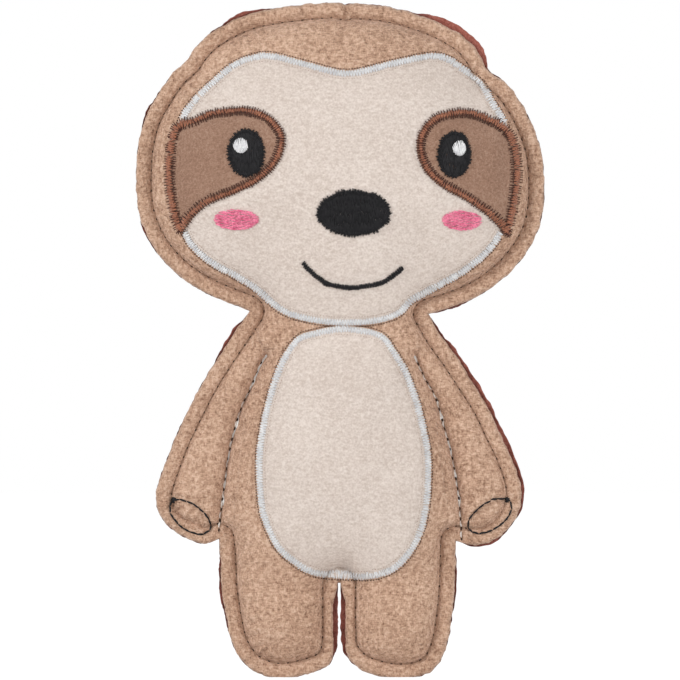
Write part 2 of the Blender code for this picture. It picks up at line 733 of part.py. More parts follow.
def within(path, polygon, margin, avoid=(), closed=False):
    """The longest stretch of a path that stays inside a polygon and off the others."""
    path = respace(path, FINE_STEP, closed)
    good = inside(path, polygon) & (distance_to(path, polygon, closed=True) > margin)
    for other in avoid:
        good &= ~inside(path, other) & (distance_to(path, other, closed=True) > margin)
    first = int(np.argmin(good))
    path, good = np.roll(path, -first, axis=0), np.roll(good, -first)
    best = (0, 0)
    start = None
    for i, ok in enumerate(list(good) + [False]):
        if ok and start is None:
            start = i
        if not ok and start is not None:
            best = max(best, (i - start, start))
            start = None
    return respace(path[best[1]:best[1] + best[0]], OUTLINE_STEP)


def beside(path, distance):
    """The path moved to its left by a distance."""
    way = np.gradient(path, axis=0)
    way /= np.linalg.norm(way, axis=1)[:, None]
    return path + np.c_[-way[:, 1], way[:, 0]] * distance


for old in list(bpy.data.objects):
    bpy.data.objects.remove(old, do_unlink=True)

# The whole outline, the seam inside it and the shapes that the filling follows
head_edge = curve(HEAD_EDGE_PX, OUTLINE_STEP)
left_arm_edge = curve(LEFT_ARM_EDGE_PX, OUTLINE_STEP)
left_leg_edge = curve(LEFT_LEG_EDGE_PX, OUTLINE_STEP)
right_leg_edge = curve(RIGHT_LEG_EDGE_PX, OUTLINE_STEP)
right_arm_edge = curve(RIGHT_ARM_EDGE_PX, OUTLINE_STEP)
lower_edge = np.vstack([left_arm_edge, left_leg_edge[1:], right_leg_edge, right_arm_edge[1:]])
floor_line = np.array([[0.0, 0.0], [TOY_HEIGHT, 0.0]])
OUTLINE = np.vstack([head_edge[:-1], lower_edge])
SEAM = inset(OUTLINE, RIM_WIDTH, OUTLINE_STEP)
QUILTS = [curve(LEFT_QUILT_PX, OUTLINE_STEP), curve(RIGHT_QUILT_PX, OUTLINE_STEP)]
SEAM_SAMPLES = np.vstack([respace(SEAM, FINE_STEP, True)]
                         + [respace(quilt, FINE_STEP) for quilt in QUILTS])
LEFT_ARM_CHAMBER = np.vstack([left_arm_edge, QUILTS[0][::-1]])
RIGHT_ARM_CHAMBER = np.vstack([right_arm_edge, QUILTS[1]])
SHOULDER_RING = inset(SEAM, SHOULDER_STEP, OUTLINE_STEP)
GRID = grid()

RIM_HALF_GAP = LAYER_GAP / 2
COVER_TOP = RIM_HALF_GAP + COVER_THICKNESS
PATCH_LOW = COVER_TOP + PATCH_GAP
PATCH_TOP = PATCH_LOW + PATCH_THICKNESS
SECOND_LOW = PATCH_TOP + LAYER_GAP
SECOND_TOP = SECOND_LOW + STITCH_THICKNESS
EYE_PATCH_TOP = SECOND_LOW + PATCH_THICKNESS
THIRD_LOW = EYE_PATCH_TOP + LAYER_GAP
THIRD_TOP = THIRD_LOW + STITCH_THICKNESS
FOURTH_LOW = THIRD_TOP + LAYER_GAP
FOURTH_TOP = FOURTH_LOW + STITCH_THICKNESS / 2
THREAD_CORE = FOLD_THREAD_RADIUS + LAYER_GAP
neck = Fold(NECK_LINE_PX, NECK_HALF_DEPTH, NECK_REACH, NECK_BEND_DEG)
hip = Fold(HIP_LINE_PX, HIP_HALF_DEPTH, HIP_REACH, HIP_BEND_DEG)
left_fold = Fold(LEFT_ARM_LINE_PX, ARM_FOLD_HALF_DEPTH, ARM_FOLD_REACH, ARM_BEND_DEG, THREAD_CORE)
right_fold = Fold(RIGHT_ARM_LINE_PX, ARM_FOLD_HALF_DEPTH, ARM_FOLD_REACH, ARM_BEND_DEG,
                  THREAD_CORE)
FOLDS = [neck, hip, left_fold, right_fold]
row_runs = []
for fold, reach in ((neck, NECK_REACH), (hip, HIP_REACH)):
    for share in FOLD_ROW_SHARES:
        row = respace(fold.line, OUTLINE_STEP) + np.array([0.0, reach * share])
        row_runs.append(row)
FOLD_ROWS = np.vstack(row_runs)

root = carrier_at("torso_carrier")
head_carrier = carrier_at("head_carrier", neck.line)
left_arm_carrier = carrier_at("left_arm_carrier", left_fold.line)
right_arm_carrier = carrier_at("right_arm_carrier", right_fold.line)
left_leg_carrier = carrier_at("left_leg_carrier", hip.line)
right_leg_carrier = carrier_at("right_leg_carrier", hip.line)
bpy.context.view_layer.update()

# Cover sections. The lower outline closes along the sides of the neck and the neck line.
side_gap = np.array([NECK_SIDE_GAP, 0.0])
head_outline = np.vstack([head_edge, neck.line])
lower_outline = np.vstack([lower_edge, neck.line[1:] + side_gap, neck.line[:1] - side_gap])
lower_outline = clip(lower_outline, floor_line, 1)
above, below = 1, -1


def torso_part(outline, outer):
    part = neck.trim(outline, below, outer)
    part = hip.trim(part, above, outer)
    part = left_fold.trim(part, above, outer)
    return right_fold.trim(part, above, outer)


def leg_part(edge, outer):
    return hip.trim(clip(edge, floor_line, 1), below, outer)


head_shape = neck.trim(head_outline, above, COVER_TOP)
torso_shape = torso_part(lower_outline, COVER_TOP)
left_arm_shape = left_fold.trim(lower_outline, below, COVER_TOP)
right_arm_shape = right_fold.trim(lower_outline, below, COVER_TOP)
left_leg_shape = leg_part(left_leg_edge, COVER_TOP)
right_leg_shape = leg_part(right_leg_edge, COVER_TOP)
head_cover = make_covers("head", head_shape, head_carrier)
torso_cover = make_covers("torso", torso_shape, root)
left_arm_cover = make_covers("left_arm", left_arm_shape, left_arm_carrier)
right_arm_cover = make_covers("right_arm", right_arm_shape, right_arm_carrier)
left_leg_cover = make_covers("left_leg", left_leg_shape, left_leg_carrier)
right_leg_cover = make_covers("right_leg", right_leg_shape, right_leg_carrier)

# Filling of each section, clear of the seams and of the rolls that run through the folds
neck_room = NECK_HALF_DEPTH + LAYER_GAP
hip_room = HIP_HALF_DEPTH + LAYER_GAP
filled = inset(OUTLINE, RIM_WIDTH + FILL_RIM_INSET, OUTLINE_STEP)
lower_filled = neck.beyond(filled, below, neck_room)


def fill_run(polygon):
    return respace(polygon, OUTLINE_STEP, closed=True)


make_stuffing("head", fill_run(neck.beyond(filled, above, neck_room)), head_cover,
              head_carrier)
make_stuffing("left_arm", fill_run(left_fold.beyond(lower_filled, below, QUILT_ROOM)),
              left_arm_cover, left_arm_carrier)
make_stuffing("right_arm", fill_run(right_fold.beyond(lower_filled, below, QUILT_ROOM)),
              right_arm_cover, right_arm_carrier)
for name, edge, cover, carrier in (
        ("left_leg", left_leg_edge, left_leg_cover, left_leg_carrier),
        ("right_leg", right_leg_edge, right_leg_cover, right_leg_carrier)):
    leg_filled = inset(edge, RIM_WIDTH + FILL_RIM_INSET, OUTLINE_STEP)
    make_stuffing(name, fill_run(hip.beyond(leg_filled, below, hip_room)), cover, carrier)

torso_filled = hip.beyond(lower_filled, above, hip_room)
torso_filled = left_fold.beyond(torso_filled, above, QUILT_ROOM)
torso_filled = right_fold.beyond(torso_filled, above, QUILT_ROOM)
arm_cuts = [np.vstack([left_arm_edge, beside(QUILTS[0], QUILT_ROOM)[::-1]]),
            np.vstack([right_arm_edge, beside(QUILTS[1], -QUILT_ROOM)])]
make_torso_stuffing(fill_run(torso_filled), arm_cuts, torso_cover, root)
make_roll("neck_roll", neck, ROLL_ENDS_PX["neck"], root)
make_roll("left_hip_roll", hip, ROLL_ENDS_PX["left_hip"], root)
make_roll("right_hip_roll", hip, ROLL_ENDS_PX["right_hip"], root)
make_squeaker(root)

# Patches
face_edge = curve(FACE_EDGE_PX, TRIM_STEP, closed=True)
belly_edge = curve(BELLY_EDGE_PX, TRIM_STEP, closed=True)
left_eye_edge = curve(LEFT_EYE_EDGE_PX, TRIM_STEP, closed=True)
right_eye_edge = curve(RIGHT_EYE_EDGE_PX, TRIM_STEP, closed=True)
inner_face = inset(face_edge, SATIN_WIDTH, TRIM_STEP)
inner_belly = inset(belly_edge, SATIN_WIDTH, TRIM_STEP)
face_cut = neck.trim(face_edge, above, SECOND_TOP)
belly_cut = torso_part(belly_edge, SECOND_TOP)
face = over(face_cut, head_cover, borders=[inner_face])
belly = over(belly_cut, torso_cover, borders=[inner_belly])
layer("face_patch", face, PATCH_LOW, PATCH_TOP, FRONT, CREAM_KNIT, head_carrier)
layer("belly_patch", belly, PATCH_LOW, PATCH_TOP, FRONT, CREAM_KNIT, root)

# Satin stitching round the patches. The eye patches interrupt the face's.
around_eyes = [inset(edge, -SATIN_END_GAP, TRIM_STEP)
               for edge in (left_eye_edge, right_eye_edge)]
low_corner, high_corner = OUTLINE.min(axis=0), OUTLINE.max(axis=0)
eye_level = place(LEFT_EYE_PX[:2])[1]
lower_half = np.array([low_corner, (high_corner[0], low_corner[1]),
                       (high_corner[0], eye_level), (low_corner[0], eye_level)])
upper_half = np.array([(low_corner[0], eye_level), (high_corner[0], eye_level), high_corner,
                       (low_corner[0], high_corner[1])])
on_patch("face_border_top", over(face_cut, face, [inner_face, *around_eyes, lower_half]),
         WHITE_THREAD, head_carrier)
on_patch("face_border_bottom", over(face_cut, face, [inner_face, *around_eyes, upper_half]),
         WHITE_THREAD, head_carrier)
on_patch("belly_border", over(belly_cut, belly, [inner_belly]), WHITE_THREAD, root)

# Eye patches, their stitching, the eyes and their highlights
for name, edge, eye, shine in (
        ("left_eye", left_eye_edge, LEFT_EYE_PX, LEFT_HIGHLIGHT_PX),
        ("right_eye", right_eye_edge, RIGHT_EYE_PX, RIGHT_HIGHLIGHT_PX)):
    inner_eye = inset(edge, EYE_SATIN_WIDTH, TRIM_STEP)
    eye_patch = over(edge, face, borders=[inner_eye])
    layer(name + "_patch", eye_patch, SECOND_LOW, EYE_PATCH_TOP, FRONT, BROWN_PATCH,
          head_carrier)
    layer(name + "_border", over(edge, eye_patch, [inner_eye]), THIRD_LOW, THIRD_TOP, FRONT,
          RUST_THREAD, head_carrier)
    pupil = over(ellipse(eye, TRIM_STEP), eye_patch)
    layer(name, pupil, THIRD_LOW, THIRD_TOP, FRONT, BLACK_THREAD, head_carrier)
    layer(name + "_highlight", over(ellipse(shine, THREAD_STEP), pupil), FOURTH_LOW,
          FOURTH_TOP, FRONT, WHITE_THREAD, head_carrier)

# Nose, mouth and cheeks
on_patch("nose", over(ellipse(NOSE_PX, TRIM_STEP), face), BLACK_THREAD, head_carrier)
mouth_edge = band(curve(MOUTH_PX, TRIM_STEP), MOUTH_WIDTH)
on_patch("mouth", over(mouth_edge, face), BLACK_THREAD, head_carrier)
for name, cheek in (("left_cheek", LEFT_CHEEK_PX), ("right_cheek", RIGHT_CHEEK_PX)):
    on_patch(name, over(ellipse(cheek, TRIM_STEP), face), PINK_THREAD, head_carrier)

# Stitched loops that mark the paws
left_loop = ellipse(LEFT_PAW_PX, THREAD_STEP, -PAW_TILT_DEG)
right_loop = ellipse(RIGHT_PAW_PX, THREAD_STEP, PAW_TILT_DEG)
for name, loop, cover, carrier in (
        ("left_paw_loop", left_loop, left_arm_cover, left_arm_carrier),
        ("right_paw_loop", right_loop, right_arm_cover, right_arm_carrier)):
    ring = over(loop, cover, [inset(loop, LOOP_WIDTH, THREAD_STEP)])
    on_cover(name, ring, BLACK_THREAD, carrier)

# Seam thread on the rim, and the quilting thread at the arms
thread_path = inset(OUTLINE, RIM_WIDTH - SEAM_THREAD_OUT, OUTLINE_STEP)
half_line = np.array([place((CENTRE_COLUMN, FOOT_ROW)), place((CENTRE_COLUMN, TOP_ROW))])
sections = [
    ("head_seam_thread", head_shape, head_cover, (), head_carrier),
    ("left_arm_seam_thread", left_arm_shape, left_arm_cover, [left_loop], left_arm_carrier),
    ("right_arm_seam_thread", right_arm_shape, right_arm_cover, [right_loop],
     right_arm_carrier),
    ("left_leg_seam_thread", left_leg_shape, left_leg_cover, (), left_leg_carrier),
    ("right_leg_seam_thread", right_leg_shape, right_leg_cover, (), right_leg_carrier),
    ("left_hip_seam_thread", clip(torso_shape, half_line, 1), torso_cover, (), root),
    ("right_hip_seam_thread", clip(torso_shape, half_line, -1), torso_cover, (), root),
]
for name, outline, cover, avoid, carrier in sections:
    path = within(thread_path, outline, THREAD_END_GAP, avoid, closed=True)
    on_cover(name, over(band(path, THREAD_WIDTH), cover), WHITE_THREAD, carrier)
for name, quilt in (("left_shoulder_thread", QUILTS[0]), ("right_shoulder_thread", QUILTS[1])):
    path = within(quilt, torso_shape, THREAD_END_GAP)
    on_cover(name, over(band(path, THREAD_WIDTH), torso_cover), WHITE_THREAD, root)
make_fold_thread("left_arm_fold_thread", left_fold, root)
make_fold_thread("right_arm_fold_thread", right_fold, root)

print("parts made:", len([o for o in bpy.data.objects if o.type == "MESH"]))
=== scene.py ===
# %% [markdown]
# # A flat stuffed sloth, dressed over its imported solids
# The toy is two cloth panels sewn back to back, turned nowhere, so the raw edges stay outside as a
# flat rim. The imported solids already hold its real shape, joints and layers. This script lays fine
# cloth, satin stitching and thread over them, one piece for each body that moves.

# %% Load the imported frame
import json
import math

import bpy
import numpy as np
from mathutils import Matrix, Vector
from mathutils.geometry import delaunay_2d_cdt


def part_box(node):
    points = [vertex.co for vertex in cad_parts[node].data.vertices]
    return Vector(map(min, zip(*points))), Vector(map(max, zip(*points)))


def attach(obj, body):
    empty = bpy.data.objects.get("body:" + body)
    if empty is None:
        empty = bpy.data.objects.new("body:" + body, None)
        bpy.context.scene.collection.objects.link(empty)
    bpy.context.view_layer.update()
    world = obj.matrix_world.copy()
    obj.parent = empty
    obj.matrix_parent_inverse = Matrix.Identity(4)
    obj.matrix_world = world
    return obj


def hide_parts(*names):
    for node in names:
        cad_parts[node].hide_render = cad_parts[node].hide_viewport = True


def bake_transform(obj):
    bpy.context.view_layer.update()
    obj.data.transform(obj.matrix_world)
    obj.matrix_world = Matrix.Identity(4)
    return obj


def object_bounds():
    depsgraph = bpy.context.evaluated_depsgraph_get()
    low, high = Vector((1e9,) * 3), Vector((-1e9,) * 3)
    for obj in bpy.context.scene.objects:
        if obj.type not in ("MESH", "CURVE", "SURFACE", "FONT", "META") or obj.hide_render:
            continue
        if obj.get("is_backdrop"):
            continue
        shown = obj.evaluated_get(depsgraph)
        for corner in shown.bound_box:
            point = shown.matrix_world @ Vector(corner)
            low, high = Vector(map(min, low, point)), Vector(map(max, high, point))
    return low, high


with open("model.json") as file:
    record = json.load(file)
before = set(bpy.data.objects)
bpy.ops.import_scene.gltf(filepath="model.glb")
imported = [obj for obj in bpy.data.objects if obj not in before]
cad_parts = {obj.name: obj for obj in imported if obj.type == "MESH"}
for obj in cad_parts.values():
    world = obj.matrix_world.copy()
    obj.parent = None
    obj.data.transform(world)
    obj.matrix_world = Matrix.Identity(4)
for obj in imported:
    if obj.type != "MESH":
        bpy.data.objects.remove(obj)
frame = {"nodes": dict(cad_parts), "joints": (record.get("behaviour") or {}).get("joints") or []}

CAD_LOW, CAD_HIGH = (np.array(corner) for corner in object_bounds())
JOINTS = {joint["name"]: joint for joint in frame["joints"]}
print("frame, mm:", np.round((CAD_HIGH - CAD_LOW) * 1000, 1))

# %% [markdown]
# ## Where things are
# Outlines are drawn as pixels of a straight front view and turned into metres by one scale, which
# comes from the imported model's height. The seam plane, where the two panels meet, is the plane of
# the joints' axes. Sizes that the real toy has for itself, such as the rim or a stitch, are named.

# %% Measures
MM = 0.001
FOOT_ROW = 677.0
TOP_ROW = 2.87
CENTRE_COLUMN = 340.0
PIXEL = (CAD_HIGH[2] - CAD_LOW[2]) / (FOOT_ROW - TOP_ROW)
SEAM_Y = JOINTS["neck_fold"]["pos_m"][1]
FRONT, BACK = -1.0, 1.0
RIM_WIDTH = 5.0 * MM
CLOTH_THICKNESS = 0.8 * MM
CLOTH_LOW = 0.15 * MM
OUTLINE_STEP = 0.7 * MM
GRID_STEP = 1.15 * MM
print("one pixel is", round(PIXEL * 1000, 4), "mm")

# %% The cut edge of the panels, in runs that meet at the neck and under the arms
HEAD_EDGE_PX = [
    (428.6, 314), (452, 307), (480, 295), (506, 276), (524, 256), (537, 233), (543, 208),
    (544, 178), (541, 150), (532, 124), (520, 101), (505, 82), (487, 70), (482, 58),
    (468, 40), (444, 25), (416, 14), (384, 6), (352, 3.5), (345, 5), (336, 2.5), (300, 5),
    (256, 12), (230, 22), (207, 36), (192, 52), (186, 61), (172, 74), (157, 96), (145, 119),
    (138, 147), (136, 180), (138, 208), (145, 231), (159, 255), (180, 276.5), (208, 294),
    (249.5, 311),
]
LEFT_ARM_EDGE_PX = [
    (248, 313.5), (236, 331), (222, 351.5), (203, 382), (189, 409), (176, 436), (166, 461.5),
    (158, 485), (156, 498), (158, 511), (167, 525), (184, 537), (203, 543.5), (219, 539),
]
LEFT_LEG_EDGE_PX = [
    (219, 539), (220.5, 560), (222, 588), (226, 616), (232, 643), (244, 663), (259, 673.5),
    (278, 678.5), (300, 676), (324, 668), (333, 659), (337.3, 645), (338, 620), (338, 583),
]
RIGHT_LEG_EDGE_PX = [
    (340.5, 583), (340.5, 620), (342, 646), (349, 660), (363, 671), (387, 678), (405, 679),
    (423, 675.5), (437, 666), (446, 648), (451, 622), (454.5, 590), (456, 541),
]
RIGHT_ARM_EDGE_PX = [
    (456, 541), (472, 545), (488, 543), (502, 534.5), (514, 521), (521, 505), (521, 484),
    (512, 456), (501, 433), (487, 404), (471, 379), (456, 356), (442, 337), (430.5, 317),
]
LEFT_QUILT_PX = [
    (266, 356), (260, 366), (251.5, 387), (242, 407), (234, 433), (228, 460),
    (224.5, 487), (221.5, 510), (219, 532),
]
RIGHT_QUILT_PX = [
    (415, 357), (426, 380), (435.5, 397), (444, 426), (451, 451), (455.5, 475),
    (459, 498), (461, 522), (462, 541),
]

# %% The patches and the embroidery
FACE_EDGE_PX = [
    (179, 122), (193, 99.5), (211, 82), (231, 65), (249, 57), (270, 54), (305, 62.5),
    (347, 72), (390, 62.5), (430, 54), (448, 57), (461, 65), (483, 82), (493, 100),
    (503, 116), (508, 130), (509, 165), (508, 198), (506, 222), (499, 240), (484, 258),
    (461, 275.5), (435.5, 289.5), (412.6, 302), (399, 316), (376, 323.5), (339, 325.5),
    (305, 321), (280, 312), (257, 292), (236.5, 279), (211, 265), (193, 250), (184, 236),
    (179, 210), (177, 180), (176.5, 150),
]
BELLY_EDGE_PX = [
    (339, 326), (316, 330), (298, 336), (285, 352), (275.5, 373), (267, 399.5), (261, 426),
    (257, 460), (259, 503), (265, 526), (275.5, 547), (291, 562), (308, 573), (323, 577),
    (346, 578.5), (362, 579), (379, 577), (398, 568), (413, 551), (423, 530), (429, 500),
    (430.5, 459), (425, 426), (417, 396), (407.5, 371), (396, 351), (384.5, 335), (365, 328),
]
LEFT_EYE_EDGE_PX = [
    (175, 126), (193, 119), (211, 112), (231, 109), (249, 109), (265, 113.5), (277, 122),
    (285, 135), (285.5, 148), (281, 161), (272, 173.5), (257, 185), (236.5, 195), (211, 205),
    (196, 217), (182, 233), (175, 224.5), (170, 204), (167, 179), (168, 153),
]
RIGHT_EYE_EDGE_PX = [
    (426.5, 122), (439, 114), (465, 110.6), (490, 118), (506, 128), (514.5, 141),
    (518, 156.5), (519, 172), (517, 195), (511, 227), (505, 237.5), (497, 227), (484, 215),
    (465, 202), (446, 192), (433, 183), (423, 172), (417, 159), (415.4, 146), (418, 134),
]
MOUTH_PX = [(303.6, 263), (312, 271.5), (321, 279), (330, 284), (354.5, 287), (379, 283),
            (388, 278), (402, 267)]
LEFT_EYE_PX = (247.7, 154.2, 18.6, 23.4)
RIGHT_EYE_PX = (452.4, 156.0, 17.0, 23.4)
LEFT_HIGHLIGHT_PX = (242.3, 147.3, 6.8, 6.5)
RIGHT_HIGHLIGHT_PX = (457.5, 149.7, 6.1, 6.8)
LEFT_CHEEK_PX = (237.3, 219.5, 21.5, 9.8)
RIGHT_CHEEK_PX = (460.5, 220.5, 19.0, 9.6)
NOSE_PX = (353.6, 213.5, 36.5, 23.2)
LEFT_PAW_PX = (190.0, 517.0, 24.0, 13.0)
RIGHT_PAW_PX = (490.0, 516.0, 25.0, 13.5)
PAW_TILT_DEG = 35.0

# %% [markdown]
# ## Curves from points
# A run of listed points becomes a smooth curve (Catmull-Rom, which passes through each of its
# points) and is then spread evenly, because cloth edges, stitches and meshes all want even steps.

# %% Turn pixels into smooth, even curves
def place(pixels):
    """Pixels of the front view as x and z in metres."""
    flat = np.atleast_2d(np.asarray(pixels, float))
    return np.c_[(flat[:, 0] - CENTRE_COLUMN) * PIXEL, (FOOT_ROW - flat[:, 1]) * PIXEL]


def respace(path, step, closed=False):
    """The same path with its points spread evenly, about one step apart."""
    path = np.vstack([path, path[:1]]) if closed else np.asarray(path)
    run = np.r_[0, np.cumsum(np.linalg.norm(np.diff(path, axis=0), axis=1))]
    count = max(int(round(run[-1] / step)), 3 if closed else 1)
    at = np.linspace(0, run[-1], count + 1)
    spread = np.c_[np.interp(at, run, path[:, 0]), np.interp(at, run, path[:, 1])]
    return spread[:-1] if closed else spread


def smooth(points, closed=False, parts=12):
    """A curve through the points."""
    knots = np.asarray(points, float)
    if closed:
        knots = np.vstack([knots[-1:], knots, knots[:2]])
    else:
        knots = np.vstack([2 * knots[0] - knots[1], knots, 2 * knots[-1] - knots[-2]])
    t = np.linspace(0, 1, parts, endpoint=False)[:, None]
    pieces = []
    for a, b, c, d in zip(knots[:-3], knots[1:-2], knots[2:-1], knots[3:]):
        pieces.append(b + 0.5 * t * ((c - a) + t * (2 * a - 5 * b + 4 * c - d
                                                    + t * (3 * b - a - 3 * c + d))))
    if not closed:
        pieces.append(knots[-2:-1])
    return np.vstack(pieces)


def curve(pixels, step=OUTLINE_STEP, closed=False):
    return respace(smooth(place(pixels), closed), step, closed)


def ellipse(pixels, step=OUTLINE_STEP, tilt_deg=0.0):
    """A closed run from a centre and two half widths, turned by a tilt."""
    a = np.linspace(0, 2 * math.pi, 90, endpoint=False)
    flat = np.c_[pixels[2] * PIXEL * np.cos(a), pixels[3] * PIXEL * np.sin(a)]
    tilt = math.radians(tilt_deg)
    turn = np.array([[math.cos(tilt), -math.sin(tilt)], [math.sin(tilt), math.cos(tilt)]])
    return respace(place(pixels[:2])[0] + flat @ turn.T, step, closed=True)

# %% [markdown]
# ## Inside, outside and how far
# Every layer asks the same three questions of an outline: which points it holds, how far they are
# from it, and what path runs beside it. NumPy answers them for thousands of points at a time.

# %% Ask questions of outlines
AT_ONCE = 2500


def in_turn(points, job):
    """Runs a job on some points at a time, so that the tables it makes stay small."""
    return np.concatenate([job(points[a:a + AT_ONCE]) for a in range(0, len(points), AT_ONCE)])


def inside(points, polygon):
    ax, az = polygon[:, 0], polygon[:, 1]
    bx, bz = np.roll(ax, -1), np.roll(az, -1)
    slope = (bx - ax) / np.where(bz == az, np.inf, bz - az)

    def job(some):
        x, z = some[:, :1], some[:, 1:]
        spans = (az > z) != (bz > z)
        return (np.sum(spans & (x < ax + (z - az) * slope), axis=1) % 2) == 1
    return in_turn(points, job)


def distance_to(points, path, closed=True):
    a = path if closed else path[:-1]
    along = (np.roll(path, -1, axis=0) if closed else path[1:]) - a
    length = np.maximum(np.sum(along * along, axis=1), 1e-18)

    def job(some):
        reach_x = some[:, :1] - a[:, 0]
        reach_z = some[:, 1:] - a[:, 1]
        t = np.clip((reach_x * along[:, 0] + reach_z * along[:, 1]) / length, 0, 1)
        off = (reach_x - t * along[:, 0]) ** 2 + (reach_z - t * along[:, 1]) ** 2
        return np.sqrt(off.min(axis=1))
    return in_turn(points, job)


def sides_of(path, closed=True):
    """For each point of a path, the way along it and the way to its left."""
    way = np.roll(path, -1, axis=0) - np.roll(path, 1, axis=0) if closed else np.gradient(path, axis=0)
    way = way / np.linalg.norm(way, axis=1)[:, None]
    return way, np.c_[-way[:, 1], way[:, 0]]


def counter_clockwise(polygon):
    """The polygon with its points in counter-clockwise order."""
    x, z = polygon[:, 0], polygon[:, 1]
    area = np.sum(x * np.roll(z, -1) - np.roll(x, -1) * z)
    return polygon if area > 0 else polygon[::-1]


def inset(polygon, distance, step=OUTLINE_STEP):
    """The closed path that runs at a distance inside the polygon."""
    ring = counter_clockwise(respace(polygon, 0.5 * MM, closed=True))
    after = np.roll(ring, -1, axis=0) - ring
    after /= np.linalg.norm(after, axis=1)[:, None]
    inward = np.c_[-after[:, 1], after[:, 0]]
    moved = []
    for point, left, right in zip(ring, np.roll(inward, 1, axis=0), inward):
        turn = math.atan2(left[0] * right[1] - left[1] * right[0], left @ right)
        steps = max(int(abs(turn) / 0.25), 1)
        for i in range(steps + 1):
            a = turn * i / steps
            swung = np.array([left[0] * math.cos(a) - left[1] * math.sin(a),
                              left[0] * math.sin(a) + left[1] * math.cos(a)])
            moved.append(point + swung * distance)
    moved = np.array(moved)
    clear = distance_to(moved, ring) > abs(distance) * 0.985
    return respace(moved[clear], step, closed=True)


def clip(polygon, axis, limit, sign):
    """The part of the polygon whose x (axis 0) or z (axis 1) lies past a limit."""
    height = (polygon[:, axis] - limit) * sign
    kept = []
    for i, point in enumerate(polygon):
        j = (i + 1) % len(polygon)
        if height[i] >= 0:
            kept.append(point)
        if height[i] * height[j] < 0:
            kept.append(point + (polygon[j] - point) * height[i] / (height[i] - height[j]))
    return np.array(kept)


def refine(polygon):
    """The polygon with its long straight stretches divided, alike from either side."""
    points = []
    for a, b in zip(polygon, np.roll(polygon, -1, axis=0)):
        count = max(int(np.linalg.norm(b - a) / OUTLINE_STEP), 1)
        points.extend(a + (b - a) * i / count for i in range(count))
    return np.array(points)

# %% The toy's outline, its seam and its quilting
head_edge = curve(HEAD_EDGE_PX)
left_arm_edge = curve(LEFT_ARM_EDGE_PX)
left_leg_edge = curve(LEFT_LEG_EDGE_PX)
right_leg_edge = curve(RIGHT_LEG_EDGE_PX)
right_arm_edge = curve(RIGHT_ARM_EDGE_PX)
OUTLINE = np.vstack([head_edge, left_arm_edge, left_leg_edge[1:], right_leg_edge,
                     right_arm_edge[1:]])
SEAM = inset(OUTLINE, RIM_WIDTH)
QUILTS = [curve(LEFT_QUILT_PX), curve(RIGHT_QUILT_PX)]
LEFT_CHAMBER = np.vstack([left_arm_edge, QUILTS[0][::-1]])
RIGHT_CHAMBER = np.vstack([right_arm_edge, QUILTS[1]])
SEWN_PATHS = [(SEAM, True), (QUILTS[0], False), (QUILTS[1], False)]
SAMPLES = np.vstack([path for path, _ in SEWN_PATHS])
WAYS = np.vstack([sides_of(path, closed)[0] for path, closed in SEWN_PATHS])
RUNS = np.arange(len(SAMPLES)) * OUTLINE_STEP
print("outline points", len(OUTLINE), "seam samples", len(SAMPLES))

# %% [markdown]
# ## How the toy swells
# Filling pushes two sewn panels apart most where they are far from every seam. A sum over the
# seams of one over the distance cubed gives a smooth measure of that, with no ridge along the
# middle as the plain nearest distance has. The neck and hips stay thinner, as in the solids.

# %% The filled shape
FILL_HALF_DEPTH = 15.5 * MM
FILL_REACH = 21.6 * MM
FILL_POWER = 0.75
ARM_FILL_SHARE = 0.55
NECK_DIP = (place([(260, 329.8), (418, 329.8)]), 6.2 * MM, 10.0 * MM)
HIP_DIP = (place([(216, 586), (460, 586)]), 5.2 * MM, 8.0 * MM)


def along_seams(points):
    """For each point: a smooth depth, the distance to the nearest seam, and where along it."""
    squares = np.sum(SAMPLES * SAMPLES, axis=1)

    def job(some):
        squared = np.sum(some * some, axis=1)[:, None] + squares - 2 * some @ SAMPLES.T
        far = np.sqrt(np.maximum(squared, 0)) + 0.05 * MM
        nearness = np.sum(1 / (far * far * far), axis=1) * OUTLINE_STEP / 2
        near = np.argmin(far, axis=1)
        reach = some - SAMPLES[near]
        way = WAYS[near]
        along = reach[:, 0] * way[:, 0] + reach[:, 1] * way[:, 1]
        across = np.abs(reach[:, 0] * way[:, 1] - reach[:, 1] * way[:, 0])
        beside = np.abs(along) < OUTLINE_STEP
        away = np.where(beside, across, far[np.arange(len(some)), near])
        return np.c_[nearness ** -0.5, away, RUNS[near] + along]
    return in_turn(points, job).T


def swelling(points, depth, away):
    full = FILL_HALF_DEPTH * (depth / FILL_REACH) ** FILL_POWER
    in_arm = inside(points, LEFT_CHAMBER) | inside(points, RIGHT_CHAMBER)
    full = np.where(in_arm, full * ARM_FILL_SHARE, full)
    sharp = full ** -4.0
    for line, thin, reach in (NECK_DIP, HIP_DIP):
        far = distance_to(points, line, closed=False) / reach
        sharp = sharp + (thin * np.sqrt(1 + far * far)) ** -4.0
    swell = sharp ** -0.25 * (1 - np.exp(-away / (0.6 * MM)))
    return np.where(inside(points, SEAM), swell, 0.0)

# %% [markdown]
# ## Uneven cloth
# Real sewing puckers: the thread gathers the cloth into small folds that die away from the seam,
# and loose filling leaves broad soft waves. Both are sums of a few sine waves with fixed random
# directions, which are cheap, smooth and the same on every run.

# %% Waves, puckers and the ribbed rim
def waves(points, length, seed, count=7):
    """A smooth random field over the front view, from about -1 to 1."""
    dice = np.random.default_rng(seed)
    total = np.zeros(len(points))
    for _ in range(count):
        angle, phase = dice.uniform(0, 2 * math.pi, 2)
        pace = 2 * math.pi / (length * dice.uniform(0.7, 1.5))
        way = np.array([math.cos(angle), math.sin(angle)])
        total += np.sin(points @ way * pace + phase)
    return total / math.sqrt(count)


def ripples(run, length, seed, count=5):
    """The same along a line."""
    return waves(np.c_[run, np.zeros_like(run)], length, seed, count)


